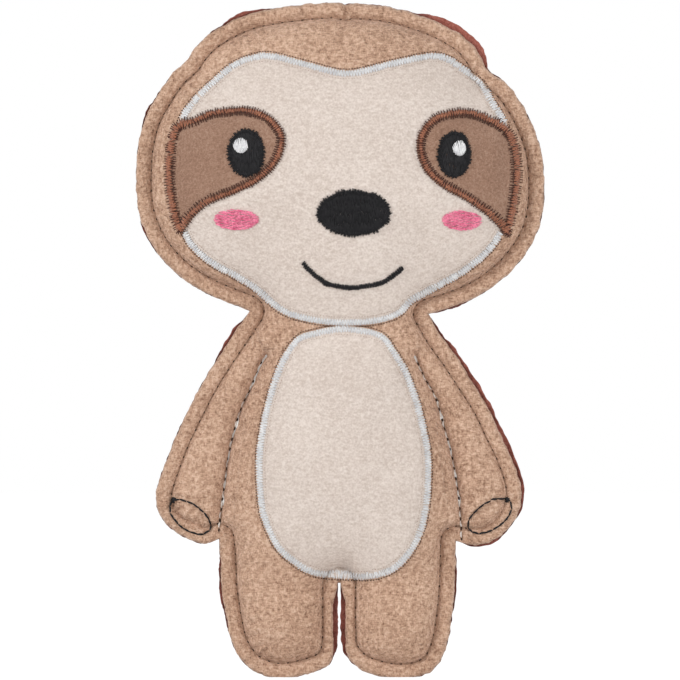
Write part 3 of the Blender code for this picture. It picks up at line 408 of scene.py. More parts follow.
PINCHES = [place([(343, 0), (348, 20)]), place([(190, 50), (201, 66)]),
           place([(486, 56), (473, 74)]), place([(150, 214), (168, 208)]),
           place([(530, 220), (517, 212)]), place([(300, 2), (303, 14)])]


def pressed_by_borders(points):
    """How hard the satin borders pull the cloth down, from 0 to 1."""
    pull = np.zeros(len(points))
    for path in PRESSED_PATHS:
        pull = np.maximum(pull, np.exp(-(distance_to(points, path) / (1.5 * MM)) ** 2))
    return pull


def panel_heights(points, side):
    """The y of the rim's wavy middle, and how far a panel's outside stands off it."""
    depth, away, run = along_seams(points)
    swell = swelling(points, depth, away)
    filled = inside(points, SEAM)
    seed = 10 if side == FRONT else 20
    fade = 1 - np.exp(-away / (1.0 * MM))
    gather = 1 - 1.6 * np.abs(ripples(run, 9.0 * MM, seed))
    fine = ripples(run, 4.2 * MM, seed + 1)
    pucker = (0.60 * gather + 0.26 * fine) * np.exp(-away / (5.0 * MM)) * fade * MM
    broad = (0.42 * waves(points, 34 * MM, seed + 2) + 0.18 * waves(points, 13 * MM, seed + 3)
             + 0.09 * waves(points, 6 * MM, seed + 4)) * MM
    bulk = np.clip(swell / (5 * MM), 0, 1)
    relief = np.where(filled, pucker + broad * bulk, 0.0)
    if side == FRONT:
        relief = relief - 0.45 * MM * pressed_by_borders(points) * bulk
        for pinch in PINCHES:
            relief = relief - 1.0 * MM * np.exp(-(distance_to(points, pinch, False) / (0.6 * MM)) ** 2)
    across_rim = np.clip(away / RIM_WIDTH, 0, 1.3)
    roll = np.sin(np.clip(across_rim, 0, 1) * math.pi * 0.72)
    ribs = 0.17 * ripples(run, 2.0 * MM, seed + 5) + 0.26 * ripples(run, 6 * MM, seed + 6)
    thick = CLOTH_LOW + CLOTH_THICKNESS + np.where(filled, 0.0, (1.0 + ribs) * roll * MM)
    thick = thick - 0.85 * MM * np.exp(-(away / (0.75 * MM)) ** 2)
    curl = ripples(run, 26 * MM, 40) * 0.75 * MM + ripples(run, 11 * MM, 41) * 0.30 * MM
    curl = np.where(filled, 0.0, curl * across_rim ** 1.5)
    edge = distance_to(points, EDGES[side])
    round_over = np.clip(edge / (1.1 * MM), 0, 1)
    round_over = np.sqrt(1 - (1 - round_over) ** 2)
    thin = CLOTH_LOW + 0.25 * MM
    thick = thin + (thick - thin) * round_over
    return SEAM_Y + curl, np.maximum(swell + thick + relief, 0.1 * MM)


def skin(points, side):
    """The y of a panel's outside."""
    middle, height = panel_heights(points, side)
    return middle + side * height

# %% [markdown]
# ## Where the back panel shows
# The two panels were trimmed together but not exactly: seen from the front, the brown back
# panel peeks out past the tan one in places. Each place is a soft push of one of the two edges.

# %% Draw the back panel's own edge
PEEKS_PX = [
    (242, 16, 20, 4.0), (436, 21, 20, 3.6), (456, 33, 22, 5.6), (477, 52, 18, 5.2), (147, 112, 12, 2.2),
    (445, 311, 20, 4.6), (238, 328, 14, 3.6), (224, 348, 14, 2.4), (452, 350, 20, 2.6),
    (474, 384, 34, 3.4), (505, 441, 36, 3.0), (519, 492, 24, 2.2), (487, 544, 24, 2.6),
    (221, 575, 24, 2.0), (224, 602, 20, 2.0), (455, 590, 26, 2.0), (141, 232, 18, 1.2),
]
SET_BACKS_PX = [
    (338, 606, 26, -2.6), (337, 640, 18, -1.4), (340.5, 606, 26, -2.8), (342, 642, 18, -2.0),
    (512, 457, 30, -1.4), (488, 405, 24, -1.2),
    (436, 318, 10, -1.2), (250, 313, 8, -0.8),
]


def pushed_out(edge, places):
    """An edge moved outwards, or inwards if a size is negative, with its two ends held."""
    outwards = -sides_of(edge, closed=False)[1]
    push = np.zeros(len(edge))
    for column, row, reach, size in places:
        far = np.linalg.norm(edge - place((column, row)), axis=1) / (reach * PIXEL)
        push += size * PIXEL * np.exp(-far * far)
    run = np.linspace(0, 1, len(edge))
    held = np.clip(np.minimum(run, 1 - run) * 14, 0, 1)
    return edge + outwards * (push * held)[:, None]


def frayed(edge, seed):
    """An edge with the small unevenness of a hand's cut, its two ends held."""
    outwards = -sides_of(edge, closed=False)[1]
    run = np.arange(len(edge)) * OUTLINE_STEP
    uneven = ripples(run, 5 * MM, seed) * 0.14 * MM + ripples(run, 2.2 * MM, seed + 1) * 0.08 * MM
    held = np.clip(np.minimum(run, run[-1] - run) / (4 * MM), 0, 1)
    return edge + outwards * (uneven * held)[:, None]


runs = [head_edge, left_arm_edge, left_leg_edge, right_leg_edge, right_arm_edge]
front_runs = [frayed(pushed_out(edge, SET_BACKS_PX), 60 + i) for i, edge in enumerate(runs)]
back_runs = [frayed(pushed_out(edge, PEEKS_PX), 70 + i) for i, edge in enumerate(runs)]
EDGES = {FRONT: np.vstack(front_runs), BACK: np.vstack(back_runs)}

# %% [markdown]
# ## Dividing the panels between the bodies
# Each panel is one sheet on the real toy. Here it is cut where it still follows the torso, so
# the pieces meet without a gap, one piece for each body: the head above the neck line, the arms
# past their fold lines, the legs below the hips.

# %% Cut the panels into pieces
NECK_PATH = place([(249.5, 311), (254.5, 322), (258, 334), (262, 350), (414, 350), (419, 336),
                   (423.5, 324), (428.6, 314)])
LEFT_SPLIT = place([(254.5, 322), (253.6, 330), (231.8, 530), (219, 539)])
RIGHT_SPLIT = place([(456, 541), (449.4, 530), (425.8, 330), (423.5, 324)])
HIP_Z = place([(0, 580.4)])[0, 1]
SLIT_X = place([(339.25, 0)])[0, 0]


def body_areas(pieces):
    """The outline of each body's piece of a panel."""
    head, left_arm, left_leg, right_leg, right_arm = pieces
    lower = np.vstack([left_leg, right_leg, RIGHT_SPLIT[1:], NECK_PATH[-3:0:-1], LEFT_SPLIT[1:-1]])
    legs = clip(lower, 1, HIP_Z, -1)
    areas = {
        "head": np.vstack([head, NECK_PATH[1:-1]]),
        "torso": clip(lower, 1, HIP_Z, 1),
        "left_arm": np.vstack([left_arm, LEFT_SPLIT[-2::-1], NECK_PATH[:1]]),
        "right_arm": np.vstack([right_arm, NECK_PATH[-1:], RIGHT_SPLIT[-1:0:-1]]),
        "left_leg": clip(legs, 0, SLIT_X, -1),
        "right_leg": clip(legs, 0, SLIT_X, 1),
    }
    return {body: refine(np.c_[area[:, 0], np.maximum(area[:, 1], 0)])
            for body, area in areas.items()}


AREAS = {FRONT: body_areas(front_runs), BACK: body_areas(back_runs)}
print({body: len(area) for body, area in AREAS[FRONT].items()})

# %% [markdown]
# ## Meshes that follow the seams
# Small details need small faces only near the seams. Rings of points at set distances from the
# edge and beside the quilting, with an even grid between them, give a constrained Delaunay
# triangulation its points, and the outline gives it the edges it must keep.

# %% Spread points and join them
RING_DISTANCES = [0.35, 0.8, 1.5, 2.3, 3.1, 3.9, 4.5, 4.8, 5.0, 5.25, 5.6, 6.1, 6.8, 7.7, 8.7]
rings = [OUTLINE] + [inset(OUTLINE, d * MM) for d in RING_DISTANCES]
for quilt in QUILTS:
    left = sides_of(quilt, closed=False)[1]
    rings.extend(quilt + left * d * MM for d in (-2.4, -1.5, -0.8, -0.35, 0, 0.35, 0.8, 1.5, 2.4))
RING_POINTS = np.vstack(rings)
print("ring points", len(RING_POINTS))


def hex_grid(low, high, step):
    rise = step * math.sqrt(3) / 2
    rows = np.arange(int((high[1] - low[1]) / rise) + 1)
    columns = np.arange(int((high[0] - low[0]) / step) + 1)
    x = low[0] + step * (columns[None, :] + 0.5 * (rows[:, None] % 2))
    z = low[1] + rise * rows[:, None] + 0 * columns[None, :]
    return np.c_[x.ravel(), z.ravel()]


GRID = hex_grid(OUTLINE.min(axis=0), OUTLINE.max(axis=0), GRID_STEP)
GRID = GRID[inside(GRID, inset(OUTLINE, 9.4 * MM))]
for quilt in QUILTS:
    GRID = GRID[distance_to(GRID, quilt, closed=False) > 3.0 * MM]
print("grid points", len(GRID))


def compact(verts, faces):
    """The same triangles, without the points that none of them uses."""
    used, faces = np.unique(faces, return_inverse=True)
    return verts[used], faces.reshape(-1, 3)


def triangulate(outline, points):
    """Triangles of an area from its outline and the points in it."""
    keep = inside(points, outline)
    points = points[keep]
    points = points[distance_to(points, outline) > 0.3 * MM]
    everything = [tuple(p) for p in np.vstack([outline, points]).tolist()]
    count = len(outline)
    edges = [(i, (i + 1) % count) for i in range(count)]
    verts, _, faces, *_ = delaunay_2d_cdt(everything, edges, [], 0, 1e-7)
    verts = np.array([(v[0], v[1]) for v in verts])
    faces = np.array([f for f in faces if len(f) == 3])
    a, b, c = verts[faces[:, 0]], verts[faces[:, 1]], verts[faces[:, 2]]
    faces = faces[inside((a + b + c) / 3, outline)]
    a, b, c = verts[faces[:, 0]], verts[faces[:, 1]], verts[faces[:, 2]]
    turn = (b[:, 0] - a[:, 0]) * (c[:, 1] - a[:, 1]) - (b[:, 1] - a[:, 1]) * (c[:, 0] - a[:, 0])
    faces = np.where((turn < 0)[:, None], faces[:, ::-1], faces)
    faces = faces[np.abs(turn) > 1e-12]
    return compact(verts, faces)

# %% [markdown]
# ## A sheet of cloth with two sides
# Cloth has a thickness, and a closed shell exports and shades better than a bare surface. The
# outside and the inside share one triangulation, and a strip of quads closes the cut edge.

# %% Make shells
def new_object(name, verts, faces, material):
    mesh = bpy.data.meshes.new(name)
    mesh.from_pydata(verts.tolist() if hasattr(verts, "tolist") else verts, [], faces)
    mesh.materials.append(material)
    mesh.shade_smooth()
    mesh.set_sharp_from_angle(angle=math.radians(65))
    obj = bpy.data.objects.new(name, mesh)
    bpy.context.scene.collection.objects.link(obj)
    return obj


def shell(name, verts, faces, outer, inner, side, material):
    """A closed sheet over an area, from its outside y to its inside y."""
    count = len(verts)
    solid = np.vstack([np.c_[verts[:, 0], outer, verts[:, 1]], np.c_[verts[:, 0], inner, verts[:, 1]]])
    out_faces = faces if side == FRONT else faces[:, ::-1]
    in_faces = out_faces[:, ::-1] + count
    halves = np.vstack([out_faces[:, [0, 1]], out_faces[:, [1, 2]], out_faces[:, [2, 0]]])
    names = halves[:, 0] * count + halves[:, 1]
    back = halves[:, 1] * count + halves[:, 0]
    rim = halves[~np.isin(names, back)]
    walls = np.c_[rim[:, 1], rim[:, 0], rim[:, 0] + count, rim[:, 1] + count]
    return new_object(name, solid, out_faces.tolist() + in_faces.tolist() + walls.tolist(), material)

# %% [markdown]
# ## Which body a piece follows
# A piece that lies wholly on one body rides on it. One that crosses a fold is hung on no body;
# its placement is only baked into its points.

# %% Hang pieces on their bodies
BEND_HALF = 4.0 * MM
NECK_START, NECK_END = place([(0, 349), (0, 298)])[:, 1]
HIP_START, HIP_END = HIP_Z - 0.6 * MM, HIP_Z - 9.5 * MM


def arm_bend(joint, outwards):
    """The two points that an arm's bend runs between."""
    middle = np.array(JOINTS[joint]["pos_m"])
    way = np.array(JOINTS[joint]["axis"])
    across = np.cross(way, (0.0, 1.0, 0.0))
    across = across / np.linalg.norm(across)
    across = across * (1 if across[0] * outwards > 0 else -1)
    return middle - across * BEND_HALF, middle + across * BEND_HALF


BENDS = {
    "head": ((0.0, SEAM_Y, NECK_START), (0.0, SEAM_Y, NECK_END)),
    "left_arm": arm_bend("left_arm_fold", -1),
    "right_arm": arm_bend("right_arm_fold", 1),
    "left_leg": ((0.0, SEAM_Y, HIP_START), (0.0, SEAM_Y, HIP_END)),
    "right_leg": ((0.0, SEAM_Y, HIP_START), (0.0, SEAM_Y, HIP_END)),
}


def hang(obj, body):
    """Rides on a body, or on the torso, when the piece lies wholly on one side of the fold; a piece that
    crosses it only has its placement baked into its points.
    """
    if body == "torso":
        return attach(obj, "torso")
    start, end = (np.array(point) for point in BENDS[body])
    co = np.zeros(len(obj.data.vertices) * 3)
    obj.data.vertices.foreach_get("co", co)
    t = (co.reshape(-1, 3) - start) @ (end - start) / np.sum((end - start) ** 2)
    if t.min() >= 1:
        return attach(obj, body)
    if t.max() <= 0:
        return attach(obj, "torso")
    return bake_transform(obj)

# %% [markdown]
# ## Shader sums
# Procedural cloth is arithmetic on noise. A small class wraps a node's output, so that a sum is
# written as a sum and each operator adds its Math node. Everything else comes from one method.

# %% A socket that can be added and multiplied
class Value:
    """A node's output, ready for sums."""

    def __init__(self, graph, socket):
        self.graph = graph
        self.socket = socket

    def sum_of(self, operation, first, second):
        return self.graph.add("ShaderNodeMath", {"operation": operation}, {0: first, 1: second})

    def __add__(self, other):
        return self.sum_of("ADD", self, other)

    def __radd__(self, other):
        return self.sum_of("ADD", other, self)

    def __mul__(self, other):
        return self.sum_of("MULTIPLY", self, other)

    def __rmul__(self, other):
        return self.sum_of("MULTIPLY", other, self)


class Graph:
    """A material and its nodes."""

    def __init__(self, name, roughness, sheen=0.0):
        self.material = bpy.data.materials.new(name)
        self.material.use_nodes = True
        self.tree = self.material.node_tree
        self.shader = self.tree.nodes["Principled BSDF"]
        self.shader.inputs["Roughness"].default_value = roughness
        self.shader.inputs["Sheen Weight"].default_value = sheen
        self.shader.inputs["Sheen Roughness"].default_value = 0.45
        self.shader.inputs["Specular IOR Level"].default_value = 0.25
        self.where = self.add("ShaderNodeTexCoord", {}, {}, "Object")

    def add(self, kind, settings, values, output=0):
        """A node: its settings first, then the values or links of its sockets."""
        node = self.tree.nodes.new(kind)
        for name, setting in settings.items():
            if name == "stops":
                ramp = node.color_ramp
                for at, colour in setting[1:-1]:
                    ramp.elements.new(at).color = (*colour, 1)
                ramp.elements[0].position, ramp.elements[-1].position = setting[0][0], setting[-1][0]
                ramp.elements[0].color = (*setting[0][1], 1)
                ramp.elements[-1].color = (*setting[-1][1], 1)
            else:
                setattr(node, name, setting)
        for name, value in values.items():
            if isinstance(value, Value):
                self.tree.links.new(value.socket, node.inputs[name])
            else:
                node.inputs[name].default_value = value
        return Value(self, node.outputs[output])

    def noise(self, per_metre, detail=2.0, stretch=(1, 1, 1), seed=0.0):
        """Noise with a grain of one over per_metre, stretched along the axes."""
        where = self.add("ShaderNodeMapping", {}, {
            "Vector": self.where, "Location": (seed, seed * 0.7, -seed), "Scale": stretch})
        return self.add("ShaderNodeTexNoise", {}, {
            "Vector": where, "Scale": per_metre, "Detail": detail, "Roughness": 0.55})

    def ramp(self, value, *stops):
        return self.add("ShaderNodeValToRGB", {"stops": stops}, {"Fac": value})

    def colour(self, value):
        self.tree.links.new(value.socket, self.shader.inputs["Base Color"])

    def bump(self, height, depth, strength=1.0):
        bump = self.add("ShaderNodeBump", {}, {
            "Height": height, "Distance": depth, "Strength": strength})
        self.tree.links.new(bump.socket, self.shader.inputs["Normal"])

# %% [markdown]
# ## Cloth
# The tan front is a short, slightly matted pile: clumps of a millimetre or so catch the light
# and the gaps between them stay dark. The back is a smoother brushed suede. The patches are a fine
# pale knit, and the eye patches the same pile as the front in a deeper brown.

# %% Pile, suede and knit
def pile(name, dark, middle, light, grain, depth, sheen):
    """A matted pile: clumps over a finer nap, with broad worn patches."""
    cloth = Graph(name, 0.95, sheen)
    clumps = cloth.noise(grain, 3.0, (1.0, 1.0, 0.8))
    nap = cloth.noise(grain * 2.4, 2.0, (1.5, 1.0, 0.6), 3.0)
    strands = cloth.noise(grain * 1.6, 1.0, (0.5, 1.0, 1.7), 5.0)
    broad = cloth.noise(grain * 0.05, 2.0, (1, 1, 1), 7.0)
    height = clumps * 0.42 + nap * 0.30 + strands * 0.28
    shade = height * 0.88 + broad * 0.12
    cloth.colour(cloth.ramp(shade, (0.37, dark), (0.5, middle), (0.62, light)))
    cloth.bump(height, depth)
    return cloth.material


def knit(name, dark, light, grain):
    """A fine brushed knit: a speckle of tiny loops, hardly any rows to see."""
    cloth = Graph(name, 0.95, 0.15)
    speckle = cloth.noise(grain * 1.6, 2.0)
    loops = cloth.noise(grain * 0.9, 1.0, (0.7, 1, 1.3), 2.0)
    height = speckle * 0.6 + loops * 0.4
    broad = cloth.noise(grain * 0.05, 2.0, (1, 1, 1), 6.0)
    cloth.colour(cloth.ramp(height * 0.85 + broad * 0.15, (0.38, dark), (0.62, light)))
    cloth.bump(height, 0.30 * MM, 0.9)
    return cloth.material


TAN = pile("tan_pile", (0.24, 0.128, 0.078), (0.525, 0.332, 0.230), (0.74, 0.525, 0.395),
           820, 1.05 * MM, 0.2)
RUST = pile("rust_suede", (0.20, 0.052, 0.038), (0.34, 0.108, 0.080), (0.46, 0.18, 0.14),
            1500, 0.25 * MM, 0.2)
BROWN = pile("brown_patch", (0.21, 0.115, 0.076), (0.300, 0.175, 0.120), (0.39, 0.25, 0.182),
             1300, 0.40 * MM, 0.2)
CREAM = knit("cream_knit", (0.545, 0.455, 0.400), (0.725, 0.645, 0.588), 1000)
FIBRE = pile("fibre_fill", (0.62, 0.62, 0.60), (0.78, 0.78, 0.76), (0.9, 0.9, 0.88),
             260, 1.0 * MM, 0.1)

# %% Thread
def thread(name, dark, light, roughness, sheen=0.3):
    """Thread whose shade changes a little from stitch to stitch."""
    strand = Graph(name, roughness, sheen)
    change = strand.noise(1900, 1.0) * 0.6 + strand.noise(420, 1.0, (1, 1, 1), 9.0) * 0.4
    strand.colour(strand.ramp(change, (0.35, dark), (0.65, light)))
    strand.bump(strand.noise(5200, 1.0, (1, 1, 1), 5.0), 0.05 * MM, 0.6)
    return strand.material


WHITE_THREAD = thread("white_thread", (0.60, 0.60, 0.62), (0.86, 0.86, 0.86), 0.45)
PALE_THREAD = thread("pale_thread", (0.62, 0.56, 0.50), (0.86, 0.81, 0.76), 0.5)
RUST_THREAD = thread("rust_thread", (0.21, 0.070, 0.034), (0.42, 0.170, 0.095), 0.45)
# Near-black brown: painted shade in the gaps at the edges of the eye borders' zigzag.
RUST_SHADE_THREAD = thread("dark_rust_thread", (0.040, 0.012, 0.008), (0.090, 0.028, 0.017), 0.6, 0.0)
BLACK_THREAD = thread("black_thread", (0.003, 0.003, 0.004), (0.009, 0.008, 0.010), 0.5, 0.0)
PINK_THREAD = thread("pink_thread", (0.62, 0.085, 0.190), (0.98, 0.300, 0.450), 0.42)
BROWN_THREAD = thread("brown_thread", (0.26, 0.155, 0.098), (0.40, 0.250, 0.170), 0.7)
# Near-black: painted shade where a needle has gone into the cloth, between running stitches.
NEEDLE_HOLE_SHADE = thread("needle_hole", (0.035, 0.020, 0.014), (0.070, 0.040, 0.028), 0.9, 0.0)

# %% [markdown]
# ## The two panels
# Each body gets its front and its back piece. The satin borders press the front panel down
# along their middle, so their paths are worked out before the cloth is laid.

# %% Lay the panels
FACE_EDGE = curve(FACE_EDGE_PX, closed=True)
BELLY_EDGE = curve(BELLY_EDGE_PX, closed=True)
EYE_EDGES = {"left": curve(LEFT_EYE_EDGE_PX, closed=True), "right": curve(RIGHT_EYE_EDGE_PX, closed=True)}
SATIN_WIDTH = 2.2 * MM
EYE_SATIN_WIDTH = 2.7 * MM
PRESSED_PATHS = [inset(FACE_EDGE, SATIN_WIDTH / 2), inset(BELLY_EDGE, SATIN_WIDTH / 2),
                 inset(EYE_EDGES["left"], SATIN_WIDTH / 2), inset(EYE_EDGES["right"], SATIN_WIDTH / 2)]
POINTS = np.vstack([RING_POINTS, GRID])
PANELS = {}
for side, word, material, slot in ((FRONT, "front", TAN, "tan_pile"), (BACK, "back", RUST, "rust_suede")):
    for body, area in AREAS[side].items():
        verts, faces = triangulate(area, POINTS)
        middle, height = panel_heights(verts, side)
        outer = middle + side * height
        inner = middle + side * np.maximum(height - CLOTH_THICKNESS, 0.04 * MM)
        panel = shell(f"{body}_{word}_cloth", verts, faces, outer, inner, side, material)
        hang(panel, body)
        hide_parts(f"{body}_cover_{word}")
        PANELS[body, word] = panel
        print(panel.name, len(panel.data.polygons), "faces")

# %% [markdown]
# ## Filling
# The filling is hidden but real: a soft block in each body, just inside the cloth. The
# torso's is in two halves with a pocket between them for the squeaker.

# %% Make the filling
FILL_ROOM = 1.3 * MM
SQUEAKER_LOW, SQUEAKER_HIGH = (np.array(corner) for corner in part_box("squeaker_bulb"))
SQUEAKER_MIDDLE = (SQUEAKER_LOW + SQUEAKER_HIGH) / 2
POCKET_RADIUS = (SQUEAKER_HIGH[0] - SQUEAKER_LOW[0]) / 2 + 0.8 * MM
POCKET_DEPTH = (SQUEAKER_HIGH[1] - SQUEAKER_LOW[1]) / 2 + 1.2 * MM
FILLED = inset(OUTLINE, RIM_WIDTH + 2.2 * MM, 2 * MM)
COARSE = hex_grid(OUTLINE.min(axis=0), OUTLINE.max(axis=0), 3.2 * MM)
OUTER_BODIES = ["head", "left_arm", "right_arm", "left_leg", "right_leg"]
FILL_NODES = {body: [f"{body}_stuffing"] for body in OUTER_BODIES}
FILL_NODES["torso"] = ["torso_stuffing_front", "torso_stuffing_back", "neck_roll", "left_hip_roll",
                       "right_hip_roll"]


def filling(body):
    """One body's filling, as a closed solid inside the cloth."""
    area = AREAS[FRONT][body]
    points = np.vstack([COARSE, FILLED])
    points = points[inside(points, FILLED) | (distance_to(points, FILLED) < 0.2 * MM)]
    points = points[inside(points, area)]
    edge = area[inside(area, FILLED)]
    verts, faces = triangulate(area, np.vstack([points, edge[::3]]))
    middle = verts[faces].mean(axis=1)
    verts, faces = compact(verts, faces[inside(middle, FILLED)])
    depth, away, _ = along_seams(verts)
    swell = np.maximum(swelling(verts, depth, away) - FILL_ROOM, 0.12 * MM)
    far = np.linalg.norm(verts - SQUEAKER_MIDDLE[[0, 2]], axis=1) / POCKET_RADIUS
    hollow = POCKET_DEPTH * np.sqrt(1 - np.clip(far, 0, 1) ** 4) if body == "torso" else 0 * far
    hollow = np.minimum(np.maximum(hollow, 0.05 * MM), swell - 0.05 * MM)
    halves = []
    for side in (FRONT, BACK):
        halves.append(shell(f"{body}_filling", verts, faces, SEAM_Y + side * swell,
                            SEAM_Y + side * hollow, side, FIBRE))
    with bpy.context.temp_override(active_object=halves[0], selected_editable_objects=halves):
        bpy.ops.object.join()
    return halves[0]


for body, nodes in FILL_NODES.items():
    block = filling(body)
    hang(block, body)
    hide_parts(*nodes)
    print(block.name, len(block.data.polygons), "faces")

# %% [markdown]
# ## Patches
# The face and belly patches are laid on the front panel and held by their satin borders. Between
# the borders the knit stands a little prouder, because it traps air and filling pushes it up.

# %% Lay the patches
def patch(name, edge, lift, puff, press, material, body, node):
    """A thin patch on the front panel, with its rim pressed down by the border."""
    rings = [inset(edge, d * MM) for d in (0.4, 0.9, 1.6, 2.4, 3.4)]
    low, high = edge.min(axis=0), edge.max(axis=0)
    grid = hex_grid(low, high, GRID_STEP)
    grid = grid[inside(grid, inset(edge, 4.2 * MM))]
    verts, faces = triangulate(edge, np.vstack([*rings, grid]))
    into = distance_to(verts, edge)
    rise = lift * np.sqrt(1 - (1 - np.clip(into / (0.6 * MM), 0, 1)) ** 2)
    rise = rise + puff * (1 - np.exp(-np.maximum(into - press, 0) / (2.5 * MM)))
    ground = skin(verts, FRONT)
    obj = shell(name, verts, faces, ground + FRONT * (rise + 0.12 * MM),
                ground - FRONT * 0.05 * MM, FRONT, material)
    hang(obj, body)
    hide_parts(node)
    print(name, len(obj.data.polygons), "faces")
    return obj


PATCH_LIFT = 0.40 * MM
PATCH_PUFF = 0.25 * MM
FACE = patch("face_cloth", FACE_EDGE, PATCH_LIFT, PATCH_PUFF, SATIN_WIDTH, CREAM, "head",
             "face_patch")
BELLY = patch("belly_cloth", BELLY_EDGE, PATCH_LIFT, PATCH_PUFF, SATIN_WIDTH, CREAM, "head",
              "belly_patch")
EYE_LIFT = PATCH_LIFT + PATCH_PUFF + 0.35 * MM
EYE_CLOTHS = {}
for word, edge in EYE_EDGES.items():
    EYE_CLOTHS[word] = patch(f"{word}_eye_cloth", edge, EYE_LIFT, 0.15 * MM, EYE_SATIN_WIDTH, BROWN,
                             "head", f"{word}_eye_patch")

# %% [markdown]
# ## Sewn threads with Geometry Nodes
# Every stitch is the same thing: a short thread that rises from the cloth, arches and goes back
# in. Each stitch is given as one mesh edge with the cloth's outward direction on its ends. One
# node tree turns such edges into curves, arches them, and sweeps a round thread along each.

# %% Build the tree
THREAD_RINGS = 5
THREAD_SIDES = 5
THREAD_END_WIDTH = 0.6
TREE_INPUTS = {"Geometry": "Geometry", "Thread Radius": "Float", "Arch Height": "Float",
               "Unevenness": "Float", "Seed": "Int", "Material": "Material"}


def sewn_threads_tree():
    tree = bpy.data.node_groups.new("Sewn threads", "GeometryNodeTree")
    for name, kind in TREE_INPUTS.items():
        tree.interface.new_socket(name, in_out="INPUT", socket_type="NodeSocket" + kind)
    tree.interface.new_socket("Geometry", in_out="OUTPUT", socket_type="NodeSocketGeometry")

    def add(kind, settings=None, values=None):
        """A node: its settings first, then the values or links of its sockets."""
        node = tree.nodes.new(kind)
        for name, setting in (settings or {}).items():
            setattr(node, name, setting)
        for name, value in (values or {}).items():
            if isinstance(value, bpy.types.NodeSocket):
                tree.links.new(value, node.inputs[name])
            else:
                node.inputs[name].default_value = value
        return node

    def maths(operation, first, second):
        return add("ShaderNodeMath", {"operation": operation}, {0: first, 1: second}).outputs[0]

    def attribute(name, data_type):
        node = add("GeometryNodeInputNamedAttribute", {"data_type": data_type}, {"Name": name})
        return node.outputs["Attribute"]

    given = add("NodeGroupInput").outputs
    curves = add("GeometryNodeMeshToCurve", {}, {0: given["Geometry"]})
    even = add("GeometryNodeResampleCurve", {}, {"Curve": curves.outputs[0], "Count": THREAD_RINGS})
    along = add("GeometryNodeSplineParameter").outputs["Factor"]
    hump = maths("MULTIPLY", maths("MULTIPLY", along, maths("SUBTRACT", 1.0, along)), 4.0)
    chance = add("FunctionNodeRandomValue", {"data_type": "FLOAT"}, {
        2: maths("SUBTRACT", 1.0, given["Unevenness"]), 3: maths("ADD", 1.0, given["Unevenness"]),
        "ID": attribute("stitch", "INT"), "Seed": given["Seed"]})
    rise = maths("MULTIPLY", maths("MULTIPLY", hump, given["Arch Height"]), chance.outputs[1])
    offset = add("ShaderNodeVectorMath", {"operation": "SCALE"}, {
        0: attribute("outward", "FLOAT_VECTOR"), "Scale": rise})
    arched = add("GeometryNodeSetPosition", {}, {
        "Geometry": even.outputs[0], "Offset": offset.outputs[0]})
    width = maths("ADD", maths("MULTIPLY", hump, 1.0 - THREAD_END_WIDTH), THREAD_END_WIDTH)
    sized = add("GeometryNodeSetCurveRadius", {}, {"Curve": arched.outputs[0], "Radius": width})
    ring = add("GeometryNodeCurvePrimitiveCircle", {"mode": "RADIUS"}, {
        "Resolution": THREAD_SIDES, "Radius": given["Thread Radius"]})
    swept = add("GeometryNodeCurveToMesh", {}, {
        "Curve": sized.outputs[0], "Profile Curve": ring.outputs[0], "Scale": width,
        "Fill Caps": True})
    real = add("GeometryNodeRealizeInstances", {}, {"Geometry": swept.outputs[0]})
    finished = add("GeometryNodeSetMaterial", {}, {
        "Geometry": real.outputs[0], "Material": given["Material"]})
    add("NodeGroupOutput", {}, {"Geometry": finished.outputs[0]})
    return tree


THREADS = sewn_threads_tree()
IDENTIFIER = {item.name: item.identifier for item in THREADS.interface.items_tree
              if item.in_out == "INPUT"}
print("tree nodes:", len(THREADS.nodes))

# %% Sew a set of stitches
NUDGE = 0.25 * MM


def outward(points, side, level):
    """The cloth's outward direction at each point, from how its height changes."""
    slope_x = (skin(points + (NUDGE, 0), side) - level) / NUDGE
    slope_z = (skin(points + (0, NUDGE), side) - level) / NUDGE
    normal = np.c_[-side * slope_x, np.full(len(points), side), -side * slope_z]
    return normal / np.linalg.norm(normal, axis=1)[:, None]


def sew(name, stitches, radius, arch, lift, material, body, nodes=(), side=FRONT, seed=1,
        uneven=0.15):
    """Threads between pairs of points on the cloth, as one plain mesh."""
    starts, ends = stitches
    flat = np.stack([starts, ends], axis=1).reshape(-1, 2)
    level = skin(flat, side)
    normal = outward(flat, side, level)
    verts = np.c_[flat[:, 0], level, flat[:, 1]] + normal * lift
    mesh = bpy.data.meshes.new(name)
    mesh.from_pydata(verts.tolist(), [(i, i + 1) for i in range(0, len(flat), 2)], [])
    mesh.attributes.new("outward", "FLOAT_VECTOR", "POINT").data.foreach_set("vector", normal.ravel())
    which = np.repeat(np.arange(len(starts)), 2).astype(np.int32)
    mesh.attributes.new("stitch", "INT", "POINT").data.foreach_set("value", which)
    obj = bpy.data.objects.new(name, mesh)
    bpy.context.scene.collection.objects.link(obj)
    modifier = obj.modifiers.new("threads", "NODES")
    modifier.node_group = THREADS
    modifier[IDENTIFIER["Thread Radius"]] = radius
    modifier[IDENTIFIER["Arch Height"]] = arch
    modifier[IDENTIFIER["Unevenness"]] = uneven
    modifier[IDENTIFIER["Seed"]] = seed
    modifier[IDENTIFIER["Material"]] = material
    evaluated = obj.evaluated_get(bpy.context.evaluated_depsgraph_get())
    sewn = bpy.data.meshes.new_from_object(evaluated)
    obj.modifiers.clear()
    obj.data = sewn
    for attribute in ("outward", "stitch"):
        if attribute in sewn.attributes:
            sewn.attributes.remove(sewn.attributes[attribute])
    sewn.shade_smooth()
    hang(obj, body)
    if nodes:
        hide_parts(*nodes)
    print(name, len(starts), "stitches,", len(sewn.polygons), "faces")
    return obj
